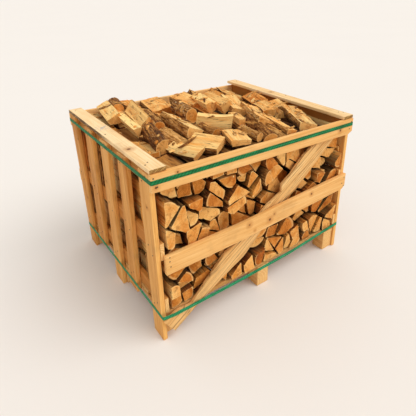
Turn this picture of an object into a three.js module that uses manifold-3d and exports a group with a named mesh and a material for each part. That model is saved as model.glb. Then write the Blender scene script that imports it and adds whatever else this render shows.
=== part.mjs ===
// A slatted crate of ash and oak firewood on a block pallet base, in millimetres.
// X runs along the front, Y from the front to the back and Z up from the floor.
import * as THREE from "three";
import { mergeVertices } from "three/addons/utils/BufferGeometryUtils.js";
import Module from "manifold-3d";

const wasm = await Module();
wasm.setup();

// Driving dimensions
const crateWidth = 1200;
const crateDepth = 970;
const wallTop = 852;
const frontRightDrop = 24;
const backRightDrop = 16;
const slatThickness = 23;
const railThickness = 20;
const boardWidth = 78;
const capWidth = 72;
const capThickness = 18;
const capOverhang = 15;
const blockWidth = 77;
const blockHeight = 104;
const bearerThickness = 22;
const deckThickness = 22;
const deckPlankWidth = 95;
const deckPlankCount = 6;
const strapWidth = 19;
const strapThickness = 1;
const gap = 0.3;

const halfWidth = crateWidth / 2;
const halfDepth = crateDepth / 2;
const deckTop = blockHeight + bearerThickness + deckThickness + 3 * gap;
const railInside = halfWidth - slatThickness - railThickness - gap;

// Colours, roughness and metalness of the materials
const finishes = {
  slat: { color: 0xc9a069, roughness: 0.8, metalness: 0 },
  rail: { color: 0xeac68c, roughness: 0.75, metalness: 0 },
  cap: { color: 0xf0dbb4, roughness: 0.75, metalness: 0 },
  base: { color: 0xcfa870, roughness: 0.85, metalness: 0 },
  strap: { color: 0x1f8a50, roughness: 0.4, metalness: 0 },
  log: { color: 0xcf9450, roughness: 0.9, metalness: 0 },
};

function piece(name, geometry, finish) {
  const mesh = new THREE.Mesh(geometry, new THREE.MeshStandardMaterial(finishes[finish]));
  mesh.name = name;
  return mesh;
}

// An outline of [across, up] points pulled out into a board that lies from 0 to thickness along Z
function extrude(outline, thickness) {
  const shape = new THREE.Shape(outline.map(([u, v]) => new THREE.Vector2(u, v)));
  return new THREE.ExtrudeGeometry(shape, { depth: thickness, bevelEnabled: false });
}

// Stands the outline up so that it is seen from the front: across is X, up is Z, thickness runs back
function standFront(outline, frontY, thickness) {
  return extrude(outline, thickness)
    .rotateX(Math.PI / 2)
    .translate(0, frontY + thickness, 0);
}

// Stands the outline up so that it is seen from the side: across is Y, up is Z, thickness runs along X
function standSide(outline, lowX, thickness) {
  return extrude(outline, thickness)
    .rotateY(Math.PI / 2)
    .rotateX(Math.PI / 2)
    .translate(lowX, 0, 0);
}

function box(low, high) {
  const size = high.map((value, i) => value - low[i]);
  const middle = high.map((value, i) => (value + low[i]) / 2);
  return new THREE.BoxGeometry(...size).translate(...middle);
}

// Moves each point by what the function returns for it
function bend(geometry, shift) {
  const points = geometry.getAttribute("position");
  for (let i = 0; i < points.count; i += 1) {
    const moved = shift(points.getX(i), points.getY(i), points.getZ(i));
    points.setXYZ(i, ...moved);
  }
  return geometry;
}

// Slats of a side wall: foot and top edges along Y, from the front corner to the back corner; each
// stops short of the top of the wall
const slats = [
  { foot: 0, low: [-485, -395], high: [-485, -395], short: 9 },
  { foot: 94, low: [-230, -140], high: [-275, -186], short: 11 },
  { foot: 0, low: [-28, 68], high: [-65, 26], short: 13 },
  { foot: 115, low: [190, 290], high: [143, 244], short: 10 },
  { foot: 0, low: [395, 485], high: [395, 485], short: 6 },
];
const innerRails = [
  { name: "bottom_rail", low: 152, high: 232 },
  { name: "middle_rail", low: 439, high: 523 },
];

// A side wall as it stands on the left; drop lowers its top towards high Y
function sideWall(side, drop) {
  const wall = new THREE.Group();
  const topAt = (y) => wallTop - (drop * (y + halfDepth)) / crateDepth;
  slats.forEach(({ foot, low, high, short }, i) => {
    const outline = [
      [low[0], foot],
      [low[1], foot],
      [high[1], topAt(high[1]) - short],
      [high[0], topAt(high[0]) - short],
    ];
    wall.add(piece(`${side}_slat_${i + 1}`, standSide(outline, -halfWidth, slatThickness), "slat"));
  });
  const railX = -railInside - railThickness;
  const front = -halfDepth + gap;
  const back = halfDepth - gap;
  innerRails.forEach(({ name, low, high }) => {
    const rail = box([railX, front, low], [railX + railThickness, back, high]);
    wall.add(piece(`${side}_${name}`, rail, "rail"));
  });
  const topRail = [
    [front, topAt(front) - boardWidth],
    [back, topAt(back) - boardWidth],
    [back, topAt(back)],
    [front, topAt(front)],
  ];
  wall.add(piece(`${side}_top_rail`, standSide(topRail, railX, railThickness), "rail"));
  const capFront = -halfDepth - capOverhang;
  const capBack = halfDepth + capOverhang;
  const cap = [
    [capFront, topAt(capFront) + gap],
    [capBack, topAt(capBack) + gap],
    [capBack, topAt(capBack) + capThickness],
    [capFront, topAt(capFront) + capThickness],
  ];
  wall.add(piece(`${side}_cap_board`, standSide(cap, -halfWidth, capWidth), "cap"));
  return wall;
}

// The brace's waney outline, [x, z], along its lower edge and back along its upper edge
const braceOutline = [
  [-547, 43],
  [-401, 134],
  [-206, 232],
  [-136, 262],
  [-13, 376],
  [154, 487],
  [215, 517],
  [401, 666],
  [500, 741],
  [500, 762],
  [380, 762],
  [255, 696],
  [167, 618],
  [102, 579],
  [105, 540],
  [9, 496],
  [-161, 375],
  [-255, 334],
  [-364, 232],
  [-452, 146],
  [-525, 155],
  [-599, 124],
];
const braceThickness = 18;
const braceLean = 0.0221;
const braceFootX = -573;
const railFace = -halfDepth - gap;
const braceFront = (x) => railFace - braceThickness - 1.5 + braceLean * (x - braceFootX);

// The middle board's outline, [x, z], and how far it bows out over the brace
const middleBoard = [
  [-566, 371],
  [-150, 384.5],
  [575, 408],
  [598, 424],
  [598, 500],
  [-150, 477.5],
  [-566, 465],
];
const middleBow = 12;
const middleBowX = -150;
const underCap = 0.8;

// A front panel; the drops lower its top rail at its left and right ends
function panel(side, leftDrop, rightDrop) {
  const group = new THREE.Group();
  const railOutline = [
    [-halfWidth, wallTop - leftDrop - boardWidth],
    [570, wallTop - rightDrop - boardWidth - 9],
    [halfWidth, wallTop - rightDrop - boardWidth + 5],
    [halfWidth, wallTop - rightDrop - underCap],
    [halfWidth - capWidth - 2, wallTop - rightDrop - underCap],
    [-halfWidth, wallTop - leftDrop],
  ];
  const rail = standFront(railOutline, railFace - railThickness, railThickness);
  group.add(piece(`${side}_top_rail`, rail, "rail"));
  const board = bend(standFront(middleBoard, railFace - railThickness, railThickness), (x, y, z) => {
    const end = x < middleBowX ? middleBoard[0][0] : middleBoard[3][0];
    const share = 1 - (x - middleBowX) / (end - middleBowX);
    return [x, y - middleBow * share, z];
  });
  group.add(piece(`${side}_middle_board`, board, "rail"));
  const brace = bend(standFront(braceOutline, 0, braceThickness), (x, y, z) => [x, y + braceFront(x), z]);
  group.add(piece(`${side}_brace`, brace, "rail"));
  return group;
}

const columns = { left: -538.2, middle: 14.5, right: 538.2 };
const blockRows = { front: -436.5, centre: 0, back: 436.5 };
const frontLeftBlockShift = 22;

function palletBase() {
  const base = new THREE.Group();
  Object.entries(columns).forEach(([column, x]) => {
    Object.entries(blockRows).forEach(([row, y]) => {
      const shift = column === "left" && row === "front" ? frontLeftBlockShift : 0;
      const low = [x - blockWidth / 2, y + shift - blockWidth / 2, 0];
      const high = [x + blockWidth / 2, y + shift + blockWidth / 2, blockHeight];
      base.add(piece(`${row}_${column}_foot`, box(low, high), "base"));
    });
    const bearerLow = blockHeight + gap;
    const low = [x - blockWidth / 2, -halfDepth + 9, bearerLow];
    const high = [x + blockWidth / 2, halfDepth - 9, bearerLow + bearerThickness];
    base.add(piece(`${column}_bearer`, box(low, high), "base"));
  });
  const plankEnd = halfWidth - slatThickness - gap;
  const pitch = (crateDepth - 18 - deckPlankWidth) / (deckPlankCount - 1);
  for (let i = 0; i < deckPlankCount; i += 1) {
    const y = -halfDepth + 9 + i * pitch;
    const low = [-plankEnd, y, deckTop - gap - deckThickness];
    const high = [plankEnd, y + deckPlankWidth, deckTop - gap];
    base.add(piece(`deck_plank_${i + 1}`, box(low, high), "base"));
  }
  return base;
}

// A packing strap: a flat band on a route of [x, y, lower edge z] corners, in order round the crate
function strap(name, route) {
  const ring = route.map(([x, y]) => new THREE.Vector2(x, y));
  const outer = ring.map((p, i) => {
    const before = ring[(i + ring.length - 1) % ring.length];
    const after = ring[(i + 1) % ring.length];
    const into = p.clone().sub(before).normalize();
    const out = after.clone().sub(p).normalize();
    const miter = new THREE.Vector2(into.y + out.y, -into.x - out.x).normalize();
    const reach = strapThickness / (miter.x * into.y - miter.y * into.x);
    return p.clone().addScaledVector(miter, reach);
  });
  const shape = new THREE.Shape(outer);
  shape.holes.push(new THREE.Path(ring));
  const band = new THREE.ExtrudeGeometry(shape, { depth: strapWidth, bevelEnabled: false });
  const lift = (x, y) => {
    const distances = route.map(([px, py]) => Math.hypot(px - x, py - y));
    return route[distances.indexOf(Math.min(...distances))][2];
  };
  return piece(name, bend(band, (x, y, z) => [x, y, z + lift(x, y)]), "strap");
}

const strapX = halfWidth + gap;
const strapY = halfDepth + railThickness + 2 * gap;
const slatEdgeY = halfDepth + gap;
const topStrap = [
  [-strapX, -strapY, 808.5],
  [0, -strapY - 0.2, 797.5],
  [strapX, -strapY, 787.5],
  [strapX, strapY, 798.5],
  [-strapX, strapY, 804.5],
];
const braceFootY = strapY + 1.1;
const footStrap = [
  [-strapX, -braceFootY + 4, 139.5],
  [-540, -braceFootY, 135.5],
  [-150, -braceFootY + 5.5, 126.5],
  [200, -braceFootY + 11.5, 128.5],
  [strapX, -slatEdgeY, 148.5],
  [strapX, braceFootY - 4, 139.5],
  [540, braceFootY, 135.5],
  [-strapX, slatEdgeY, 116.5],
];

// Random numbers from 0 to 1 that are the same on every run
function makeRandom(seed) {
  let state = seed;
  return () => {
    state = (state * 16807) % 2147483647;
    return state / 2147483647;
  };
}

// The part of a convex outline where nu * u + nv * v is at most reach
function trim(outline, nu, nv, reach) {
  const kept = [];
  outline.forEach((p, i) => {
    const q = outline[(i + 1) % outline.length];
    const before = nu * p[0] + nv * p[1] - reach;
    const after = nu * q[0] + nv * q[1] - reach;
    if (before <= 0) kept.push(p);
    if (before * after < 0) {
      const share = before / (before - after);
      kept.push([p[0] + share * (q[0] - p[0]), p[1] + share * (q[1] - p[1])]);
    }
  });
  return kept;
}

function areaAndCentre(outline) {
  let area = 0;
  const centre = [0, 0];
  outline.forEach(([u, v], i) => {
    const [nextU, nextV] = outline[(i + 1) % outline.length];
    const cross = (u * nextV - nextU * v) / 2;
    area += cross;
    centre[0] += (cross * (u + nextU)) / 3;
    centre[1] += (cross * (v + nextV)) / 3;
  });
  return { area, centre: centre.map((value) => value / area) };
}

function shrink(outline, distance) {
  return outline.reduce((kept, [u, v], i) => {
    const [nextU, nextV] = outline[(i + 1) % outline.length];
    const length = Math.hypot(nextU - u, nextV - v);
    const nu = (nextV - v) / length;
    const nv = (u - nextU) / length;
    return trim(kept, nu, nv, nu * u + nv * v - distance);
  }, outline);
}

// Moves each corner of an outline away from its middle
function swell(outline, distance) {
  const { centre } = areaAndCentre(outline);
  return outline.map((p) => {
    const length = Math.hypot(p[0] - centre[0], p[1] - centre[1]);
    return p.map((value, i) => value + (distance * (value - centre[i])) / length);
  });
}

// The face that the split logs of a row fill, [x, z]: level, then falling towards the right wall
const stackFace = [
  [-555, deckTop + 1],
  [555, deckTop + 1],
  [555, 740],
  [410, 815],
  [-555, 822],
];
const wallEdges = [1, 4];
const heartPitch = [146, 122];
const heartJitter = 46;
const logArea = { front: [5200, 7000], middle: [6400, 8400], back: [7600, 9800] };
const leastSection = 900;
const logGap = [1.5, 4];
const contact = 0.4;
const sideHollow = 9;

// Parts a section across its longer way until each part is about the size of the row's logs
function splitSection(outline, row, random) {
  const { area, centre } = areaAndCentre(outline);
  if (area < logArea[row][0] + logArea[row][1] * random()) return [outline];
  const farthest = outline.reduce((best, p) => {
    const reach = Math.hypot(p[0] - centre[0], p[1] - centre[1]);
    return reach > best.reach ? { reach, p } : best;
  }, { reach: 0, p: centre }).p;
  const along = Math.atan2(farthest[1] - centre[1], farthest[0] - centre[0]);
  const angle = along + (random() - 0.5) * 1.3;
  const nu = Math.cos(angle);
  const nv = Math.sin(angle);
  const reach = nu * centre[0] + nv * centre[1];
  return [trim(outline, nu, nv, reach), trim(outline, -nu, -nv, -reach)].flatMap((half) =>
    splitSection(half, row, random),
  );
}

// The sections of the logs in one row: cells round scattered hearts, then split
function stackSections(row, random) {
  const hearts = [];
  const floor = stackFace[0][1];
  const tiers = Math.round((stackFace[3][1] - floor) / heartPitch[1]);
  const perRow = Math.round((stackFace[1][0] - stackFace[0][0]) / heartPitch[0]);
  for (let tier = 0; tier < tiers; tier += 1) {
    for (let i = 0; i < perRow; i += 1) {
      const u = stackFace[0][0] + (i + 0.25 + 0.5 * (tier % 2)) * heartPitch[0];
      const v = floor + (tier + 0.5) * heartPitch[1];
      hearts.push([u + (random() - 0.5) * 2 * heartJitter, v + (random() - 0.5) * 2 * heartJitter]);
    }
  }
  const cells = hearts.map((heart) =>
    hearts.reduce((cell, other) => {
      if (other === heart) return cell;
      const nu = other[0] - heart[0];
      const nv = other[1] - heart[1];
      return trim(cell, nu, nv, (nu * (other[0] + heart[0]) + nv * (other[1] + heart[1])) / 2);
    }, stackFace),
  );
  return cells.filter((cell) => cell.length > 2).flatMap((cell) => splitSection(cell, row, random));
}

const barkReach = [0.74, 0.26];

// Rounds the side of a log that keeps its bark, as an arc about the heart of the tree
function roundBark(outline, random) {
  const { area, centre } = areaAndCentre(outline);
  const size = Math.sqrt(area);
  const side = random() * 2 * Math.PI;
  const heartReach = (0.2 + 0.5 * random()) * size;
  const heart = [centre[0] - heartReach * Math.cos(side), centre[1] - heartReach * Math.sin(side)];
  const farthest = Math.max(...outline.map((p) => Math.hypot(p[0] - heart[0], p[1] - heart[1])));
  const radius = farthest * (barkReach[0] + barkReach[1] * random());
  const facet = 0.6;
  return [-1, 0, 1].reduce((kept, step) => {
    const nu = Math.cos(side + step * facet);
    const nv = Math.sin(side + step * facet);
    return trim(kept, nu, nv, nu * heart[0] + nv * heart[1] + radius);
  }, outline);
}

function solidOf(geometry) {
  const plain = geometry.index ? geometry.toNonIndexed() : geometry.clone();
  plain.deleteAttribute("normal");
  plain.deleteAttribute("uv");
  const merged = mergeVertices(plain, 1e-4);
  return new wasm.Manifold(
    new wasm.Mesh({
      numProp: 3,
      vertProperties: merged.getAttribute("position").array,
      triVerts: new Uint32Array(merged.index.array),
    }),
  );
}

function geometryOf(solid) {
  const mesh = solid.getMesh();
  const geometry = new THREE.BufferGeometry();
  geometry.setAttribute("position", new THREE.BufferAttribute(mesh.vertProperties.slice(), 3));
  geometry.setIndex(new THREE.BufferAttribute(mesh.triVerts.slice(), 1));
  return geometry.toNonIndexed();
}

// A log section pulled along Y from one end to the other
const pullAlongY = (outline, low, high) => solidOf(standFront(outline, low, high - low));

// Logs of the loose top layer. x, y and top give the middle of the log's upper side, turn is its
// heading away from the crate's depth, dip lowers its near end, radius is that of the tree, and
// each cut is a split face: its direction in degrees, 90 being up, and its share of the radius.
const topLogs = [
  { name: "top_log_back_left", x: -437, y: 294, top: 908, length: 290, turn: -9, dip: 1, radius: 54,
    cuts: [[118, 0.25], [20, 0.5], [-90, 0.7]] },
  { name: "top_log_split_pale", x: -431, y: 71, top: 887, length: 305, turn: -5, dip: 1, radius: 56,
    cuts: [[90, 0.4], [203, 0.28], [-23, 0.28]] },
  { name: "top_log_half_round", x: -340, y: 135, top: 917, length: 300, turn: -7, dip: 3, radius: 46,
    cuts: [[138, 0.05], [-88, 0.6]] },
  { name: "top_log_thick", x: -237, y: -111, top: 902, length: 288, turn: -2, dip: 2, radius: 54,
    cuts: [[66, 0.35], [-40, 0.5], [-100, 0.7]] },
  { name: "top_log_dark_bark", x: -408, y: -171, top: 891, length: 235, turn: -10, dip: 3, radius: 46,
    cuts: [[-12, 0.3], [-90, 0.7]] },
  { name: "top_log_squared", x: -87, y: -198, top: 910, length: 187, turn: 49, dip: 1, radius: 56,
    cuts: [[90, 0.55], [-90, 0.6], [0, 0.5], [180, 0.5]] },
  { name: "top_log_slab", x: -242, y: -346, top: 866, length: 153, turn: 37, dip: 2, radius: 70,
    cuts: [[98, 0.2], [-85, 0.3], [8, 0.8]] },
  { name: "top_log_speckled", x: -99, y: -376, top: 870, length: 149, turn: -19, dip: 3, radius: 62,
    cuts: [[80, 0.2], [-90, 0.3], [195, 0.7]] },
  { name: "top_log_two_tone", x: 110, y: 68, top: 918, length: 247, turn: -6, dip: 1, radius: 50,
    cuts: [[112, 0.4], [205, 0.5], [-60, 0.7]] },
  { name: "top_log_long", x: 189, y: 5, top: 893, length: 300, turn: -24, dip: 2, radius: 50,
    cuts: [[80, 0.3], [-90, 0.6]] },
  { name: "top_log_block", x: 443, y: 98, top: 862, length: 225, turn: -18, dip: 0, radius: 58,
    cuts: [[112, 0.25], [-80, 0.5], [25, 0.6]] },
  { name: "top_log_grey", x: 375, y: -308, top: 863, length: 310, turn: -23, dip: 3, radius: 58,
    cuts: [[76, 0.15], [-90, 0.5]] },
  { name: "top_log_oak_bark", x: 80, y: -350, top: 865, length: 229, turn: -12, dip: 9, radius: 46,
    cuts: [[-90, 0.55]] },
];

// Logs of the top layer that have settled into a row and are one with it
const settledLogs = {
  front: [
    { x: -327, y: -198, top: 868, length: 205, turn: 1, dip: 2, radius: 44, cuts: [[-90, 0.5]] },
    { x: -351, y: -339, top: 856, length: 169, turn: 23, dip: 2, radius: 42,
      cuts: [[108, 0.2], [-60, 0.5]] },
    { x: -492, y: -206, top: 846, length: 180, turn: -3, dip: 1, radius: 54, cuts: [[85, 0.2]] },
    { x: -8, y: -373, top: 864, length: 123, turn: 15, dip: 3, radius: 26, cuts: [[-90, 0.9]] },
    { x: -156, y: -239, top: 878, length: 125, turn: 7, dip: 2, radius: 31, cuts: [[30, 0.9]] },
    { x: 62, y: -250, top: 850, length: 240, turn: -6, dip: 1, radius: 50, cuts: [[85, 0.4]] },
    { x: 54, y: -196, top: 880, length: 140, turn: -14, dip: 1, radius: 30,
      cuts: [[90, 0.7], [0, 0.7], [180, 0.7], [-90, 0.7]] },
    { x: 311, y: -129, top: 877, length: 187, turn: -22, dip: 0, radius: 42, cuts: [[100, 0.4]] },
    { x: 176, y: -206, top: 895, length: 290, turn: -21, dip: 1, radius: 54, cuts: [[66, 0.15]] },
    { x: 191, y: -358, top: 862, length: 243, turn: -10, dip: 2, radius: 34, cuts: [[75, 0.3]] },
    { x: 133, y: -360, top: 850, length: 231, turn: -9, dip: 7, radius: 44, cuts: [[-90, 0.5]] },
    { x: -470, y: -400, top: 832, length: 150, turn: 8, dip: 1, radius: 50, cuts: [[88, 0.3]] },
    { x: 490, y: -325, top: 800, length: 220, turn: -6, dip: 1, radius: 50, cuts: [[100, 0.4]] },
  ],
  middle: [
    { x: -300, y: 10, top: 858, length: 280, turn: -4, dip: 1, radius: 56, cuts: [[75, 0.3]] },
    { x: -312, y: 29, top: 897, length: 234, turn: -10, dip: 1, radius: 32,
      cuts: [[-90, 0.5], [170, 0.7]] },
    { x: -99, y: 78, top: 902, length: 194, turn: -2, dip: 1, radius: 44, cuts: [[20, 0.85]] },
    { x: 40, y: 60, top: 850, length: 280, turn: -8, dip: 1, radius: 50, cuts: [[85, 0.5]] },
    { x: 65, y: 121, top: 906, length: 225, turn: -10, dip: 0, radius: 46, cuts: [[100, 0.4], [200, 0.6]] },
    { x: 418, y: -121, top: 860, length: 250, turn: -28, dip: 0, radius: 56, cuts: [[110, 0.2]] },
    { x: 300, y: 40, top: 852, length: 280, turn: -22, dip: 1, radius: 54, cuts: [[60, 0.4]] },
    { x: 500, y: -60, top: 800, length: 260, turn: -3, dip: 1, radius: 42, cuts: [[110, 0.3]] },
    { x: -490, y: -10, top: 846, length: 290, turn: -3, dip: 1, radius: 50, cuts: [[70, 0.3]] },
    { x: -190, y: 60, top: 856, length: 250, turn: 3, dip: 1, radius: 50, cuts: [[75, 0.3]] },
  ],
  back: [
    { x: -380, y: 320, top: 860, length: 300, turn: -4, dip: 1, radius: 54, cuts: [[88, 0.3]] },
    { x: -361, y: 400, top: 902, length: 150, turn: -12, dip: 1, radius: 42, cuts: [[-90, 0.5]] },
    { x: -270, y: 310, top: 858, length: 290, turn: 2, dip: 1, radius: 50, cuts: [[100, 0.4]] },
    { x: -290, y: 326, top: 882, length: 290, turn: -6, dip: 2, radius: 44, cuts: [[80, 0.1]] },
    { x: -127, y: 342, top: 866, length: 260, turn: -8, dip: 0, radius: 74, cuts: [[98, 0.5], [-90, 0.7]] },
    { x: 42, y: 263, top: 882, length: 270, turn: -2, dip: 0, radius: 66, cuts: [[95, 0.4]] },
    { x: 160, y: 320, top: 870, length: 280, turn: -20, dip: 1, radius: 60, cuts: [[60, 0.3]] },
    { x: 290, y: 320, top: 860, length: 280, turn: -12, dip: 1, radius: 62, cuts: [[120, 0.3]] },
    { x: 430, y: 330, top: 840, length: 270, turn: -6, dip: 1, radius: 62, cuts: [[75, 0.3]] },
    { x: -500, y: 330, top: 846, length: 280, turn: -2, dip: 1, radius: 48, cuts: [[80, 0.3]] },
  ],
};
const barkFacets = 8;
const cutGap = 0.5;

// A log of the top layer where it lies, or a little larger all over to cut its room out of others
function topLog(log, grow) {
  const round = Array.from({ length: barkFacets }, (_, i) => {
    const angle = ((i + 0.5) * 2 * Math.PI) / barkFacets;
    return [(log.radius + grow) * Math.cos(angle), (log.radius + grow) * Math.sin(angle)];
  });
  const outline = log.cuts.reduce((kept, [degrees, share]) => {
    const angle = (degrees * Math.PI) / 180;
    return trim(kept, Math.cos(angle), Math.sin(angle), share * log.radius + grow);
  }, round);
  const { centre } = areaAndCentre(outline);
  const highest = Math.max(...outline.map(([, v]) => v)) - grow;
  const half = log.length / 2 + grow;
  const geometry = standFront(outline, -half, 2 * half)
    .translate(-centre[0], 0, -highest)
    .rotateX((log.dip * Math.PI) / 180)
    .rotateZ((log.turn * Math.PI) / 180)
    .translate(log.x, log.y, log.top);
  return solidOf(geometry);
}

// How far out of the crate a log's end may reach: less where a board or a strap lies over it
function endLimit(outline) {
  const across = outline.map(([u]) => u);
  const up = outline.map(([, v]) => v);
  const [footX, footZ] = braceOutline[0];
  const [headX, headZ] = braceOutline[7];
  const length = Math.hypot(headX - footX, headZ - footZ);
  const nu = -(headZ - footZ) / length;
  const nv = (headX - footX) / length;
  const above = outline.map(([u, v]) => nu * (u - footX) + nv * (v - footZ));
  const limits = [500];
  if (Math.min(...above) < braceSpan[1] && Math.max(...above) > braceSpan[0]) {
    limits.push(-braceFront(Math.max(...across)) - braceThickness - 1);
  }
  const underBoard = Math.max(...up) > middleBoard[0][1] && Math.min(...up) < middleBoard[4][1];
  const underRail = Math.max(...up) > wallTop - frontRightDrop - boardWidth - 10;
  const underStrap = Math.min(...up) < footStrap[4][2] + strapWidth + 2;
  if (underBoard || underRail) limits.push(halfDepth - 1);
  if (underStrap) limits.push(braceFootY - strapLean * (Math.max(...across) + 540) - 2);
  return Math.min(...limits);
}

const rowNames = ["front", "middle", "back"];
const rowSeeds = { front: 90121, middle: 4177, back: 60317 };
const rowSpan = { front: [-430, -168], middle: [-165, 152], back: [155, 430] };
const braceSpan = [-48, 120];
const strapLean = 0.01903;
const endScatter = 34;
const evenShare = 0.15;

// One row of the stack: log bodies that touch, log ends that stand free, and settled logs on top
function logRow(row) {
  const random = makeRandom(rowSeeds[row]);
  const [low, high] = rowSpan[row];
  const inner = wallEdges.reduce((kept, i) => {
    const side = Math.sign(stackFace[i][0]);
    return trim(kept, side, 0, Math.abs(stackFace[i][0]) - sideHollow - logGap[0]);
  }, stackFace);
  const bodies = [pullAlongY(inner, low, high)];
  stackSections(row, random).forEach((cell) => {
    const hollow = sideHollow * random();
    const worn = wallEdges.reduce((kept, i) => {
      const side = Math.sign(stackFace[i][0]);
      return trim(kept, side, 0, Math.abs(stackFace[i][0]) - hollow);
    }, cell);
    const atWall = worn.some(([u]) => Math.abs(u) > halfWidth - boardWidth);
    if (atWall) bodies.push(pullAlongY(swell(worn, contact), low, high));
    const end = roundBark(shrink(worn, logGap[0] + logGap[1] * random()), random);
    const mirrored = row === "back" ? end.map(([u, v]) => [-u, v]) : end;
    if (row === "middle" || end.length < 3 || areaAndCentre(end).area < leastSection) return;
    const onDeck = worn.some(([, v]) => v < stackFace[0][1] + 2);
    const scatter = endScatter * (atWall || onDeck ? evenShare : 1);
    const reach = endLimit(mirrored) - scatter * random() ** 2;
    const span = row === "front" ? [-reach, low + 2] : [high - 2, reach];
    bodies.push(pullAlongY(end, ...span));
  });
  settledLogs[row].forEach((log) => bodies.push(topLog(log, 0)));
  const others = rowNames.filter((name) => name !== row).flatMap((name) => settledLogs[name]);
  const cutters = [...topLogs, ...others].map((log) => topLog(log, cutGap));
  const solid = wasm.Manifold.union(bodies).subtract(wasm.Manifold.union(cutters));
  const largest = solid.decompose().sort((a, b) => b.volume() - a.volume())[0];
  return piece(`${row}_log_row`, geometryOf(largest), "log");
}

function firewood() {
  const load = new THREE.Group();
  rowNames.forEach((row) => load.add(logRow(row)));
  topLogs.forEach((log, i) => {
    const earlier = topLogs.slice(0, i).map((other) => topLog(other, cutGap));
    const solid = earlier.reduce((kept, cutter) => kept.subtract(cutter), topLog(log, 0));
    load.add(piece(log.name, geometryOf(solid), "log"));
  });
  return load;
}

const crate = new THREE.Group();
crate.add(palletBase());
crate.add(sideWall("left", 0));
const rightWall = sideWall("right", frontRightDrop);
rightWall.rotation.z = Math.PI;
crate.add(rightWall);
crate.add(panel("front", 0, frontRightDrop));
const backPanel = panel("back", backRightDrop, 0);
backPanel.rotation.z = Math.PI;
crate.add(backPanel);
crate.add(strap("top_strap", topStrap));
crate.add(strap("foot_strap", footStrap));
crate.add(firewood());

export default crate;
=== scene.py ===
import math
import bpy
import numpy as np
from mathutils import Matrix, Vector, noise


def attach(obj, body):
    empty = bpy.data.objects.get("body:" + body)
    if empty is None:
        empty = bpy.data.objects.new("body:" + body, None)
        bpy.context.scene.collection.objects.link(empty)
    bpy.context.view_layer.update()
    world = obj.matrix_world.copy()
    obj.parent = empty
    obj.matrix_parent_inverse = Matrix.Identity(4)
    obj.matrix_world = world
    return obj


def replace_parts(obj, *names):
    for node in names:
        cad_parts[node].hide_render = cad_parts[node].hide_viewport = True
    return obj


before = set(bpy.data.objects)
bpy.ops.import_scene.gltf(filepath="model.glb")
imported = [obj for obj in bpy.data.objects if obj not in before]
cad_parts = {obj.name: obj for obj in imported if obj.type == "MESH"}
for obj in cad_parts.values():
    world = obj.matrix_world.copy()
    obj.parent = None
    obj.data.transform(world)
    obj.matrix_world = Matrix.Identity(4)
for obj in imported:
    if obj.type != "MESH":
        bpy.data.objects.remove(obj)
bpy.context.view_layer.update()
mm = 0.001
upX, upY, upZ = (1, 0, 0), (0, 1, 0), (0, 0, 1)
print("frame loaded")


def letGo():
    if bpy.context.object and bpy.context.object.mode != "OBJECT":
        bpy.ops.object.mode_set(mode="OBJECT")
    bpy.ops.object.select_all(action="DESELECT")


def pickUp(*pieces):
    letGo()
    for piece in pieces:
        piece.select_set(True)
    bpy.context.view_layer.objects.active = pieces[0]
    return pieces[0]


def startEdit(piece):
    pickUp(piece)
    bpy.ops.object.mode_set(mode="EDIT")
    bpy.ops.mesh.select_all(action="SELECT")


def endEdit():
    bpy.ops.object.mode_set(mode="OBJECT")


def turnOutwards(piece):
    startEdit(piece)
    bpy.ops.mesh.normals_make_consistent(inside=False)
    endEdit()


def settle(piece):  # puts the piece's place and turn into its mesh
    pickUp(piece)
    bpy.ops.object.transform_apply(location=True, rotation=True, scale=True)


def copyOf(source, name):
    piece = bpy.data.objects.new(name, source.data.copy())
    bpy.context.scene.collection.objects.link(piece)
    return piece


def throwAway(piece):
    pickUp(piece)
    bpy.ops.object.delete()


def rename(piece, name):
    piece.name = name
    piece.data.name = name
    return piece


def joinAll(pieces, name):
    whole = pickUp(*pieces)
    if len(pieces) > 1:
        bpy.ops.object.join()
    return rename(whole, name)


def readVectors(parts, field):
    flat = np.empty(len(parts) * 3, np.float32)
    parts.foreach_get(field, flat)
    return flat.reshape(-1, 3).astype(float)


def pointsOf(piece):
    return readVectors(piece.data.vertices, "co")


def normalsOf(piece):
    return readVectors(piece.data.vertex_normals, "vector")


def setPoints(piece, points):
    piece.data.vertices.foreach_set("co", points.astype(np.float32).ravel())
    piece.data.update()


def store(piece, name, values, kind="FLOAT"):
    layer = piece.data.attributes.get(name) or piece.data.attributes.new(name, kind, "POINT")
    values = np.asarray(values, np.float32)
    if not values.ndim:
        values = np.full(len(piece.data.vertices), values)
    layer.data.foreach_set("vector" if kind == "FLOAT_VECTOR" else "value", values.ravel())


def bump3(points, scale, seed=0.0):  # smooth noise from -1 to 1 at each point
    scaled = points * np.asarray(scale) + seed
    return np.array([noise.noise(p) for p in scaled.tolist()])


def makeRandom(seed):
    state = [seed]

    def draw():
        state[0] = state[0] * 16807 % 2147483647
        return state[0] / 2147483647

    return draw


def eitherWay(draw, most):  # a draw from -most to most
    return (draw() - 0.5) * 2 * most


def atLeast(draw, low, more):  # a draw from low to low + more
    return low + more * draw()


def toward(angle):
    return math.cos(angle), math.sin(angle)


# Materials: a noise has the settings of Finish.noise, and a span says which values become 0 and 1

middling = (0.3, 0.7)  # the span in which most of a noise lies


def paint(red, green, blue):  # a colour as seen on a screen, 0 to 255
    return tuple((value / 255) ** 2.2 for value in (red, green, blue)) + (1.0,)


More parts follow.
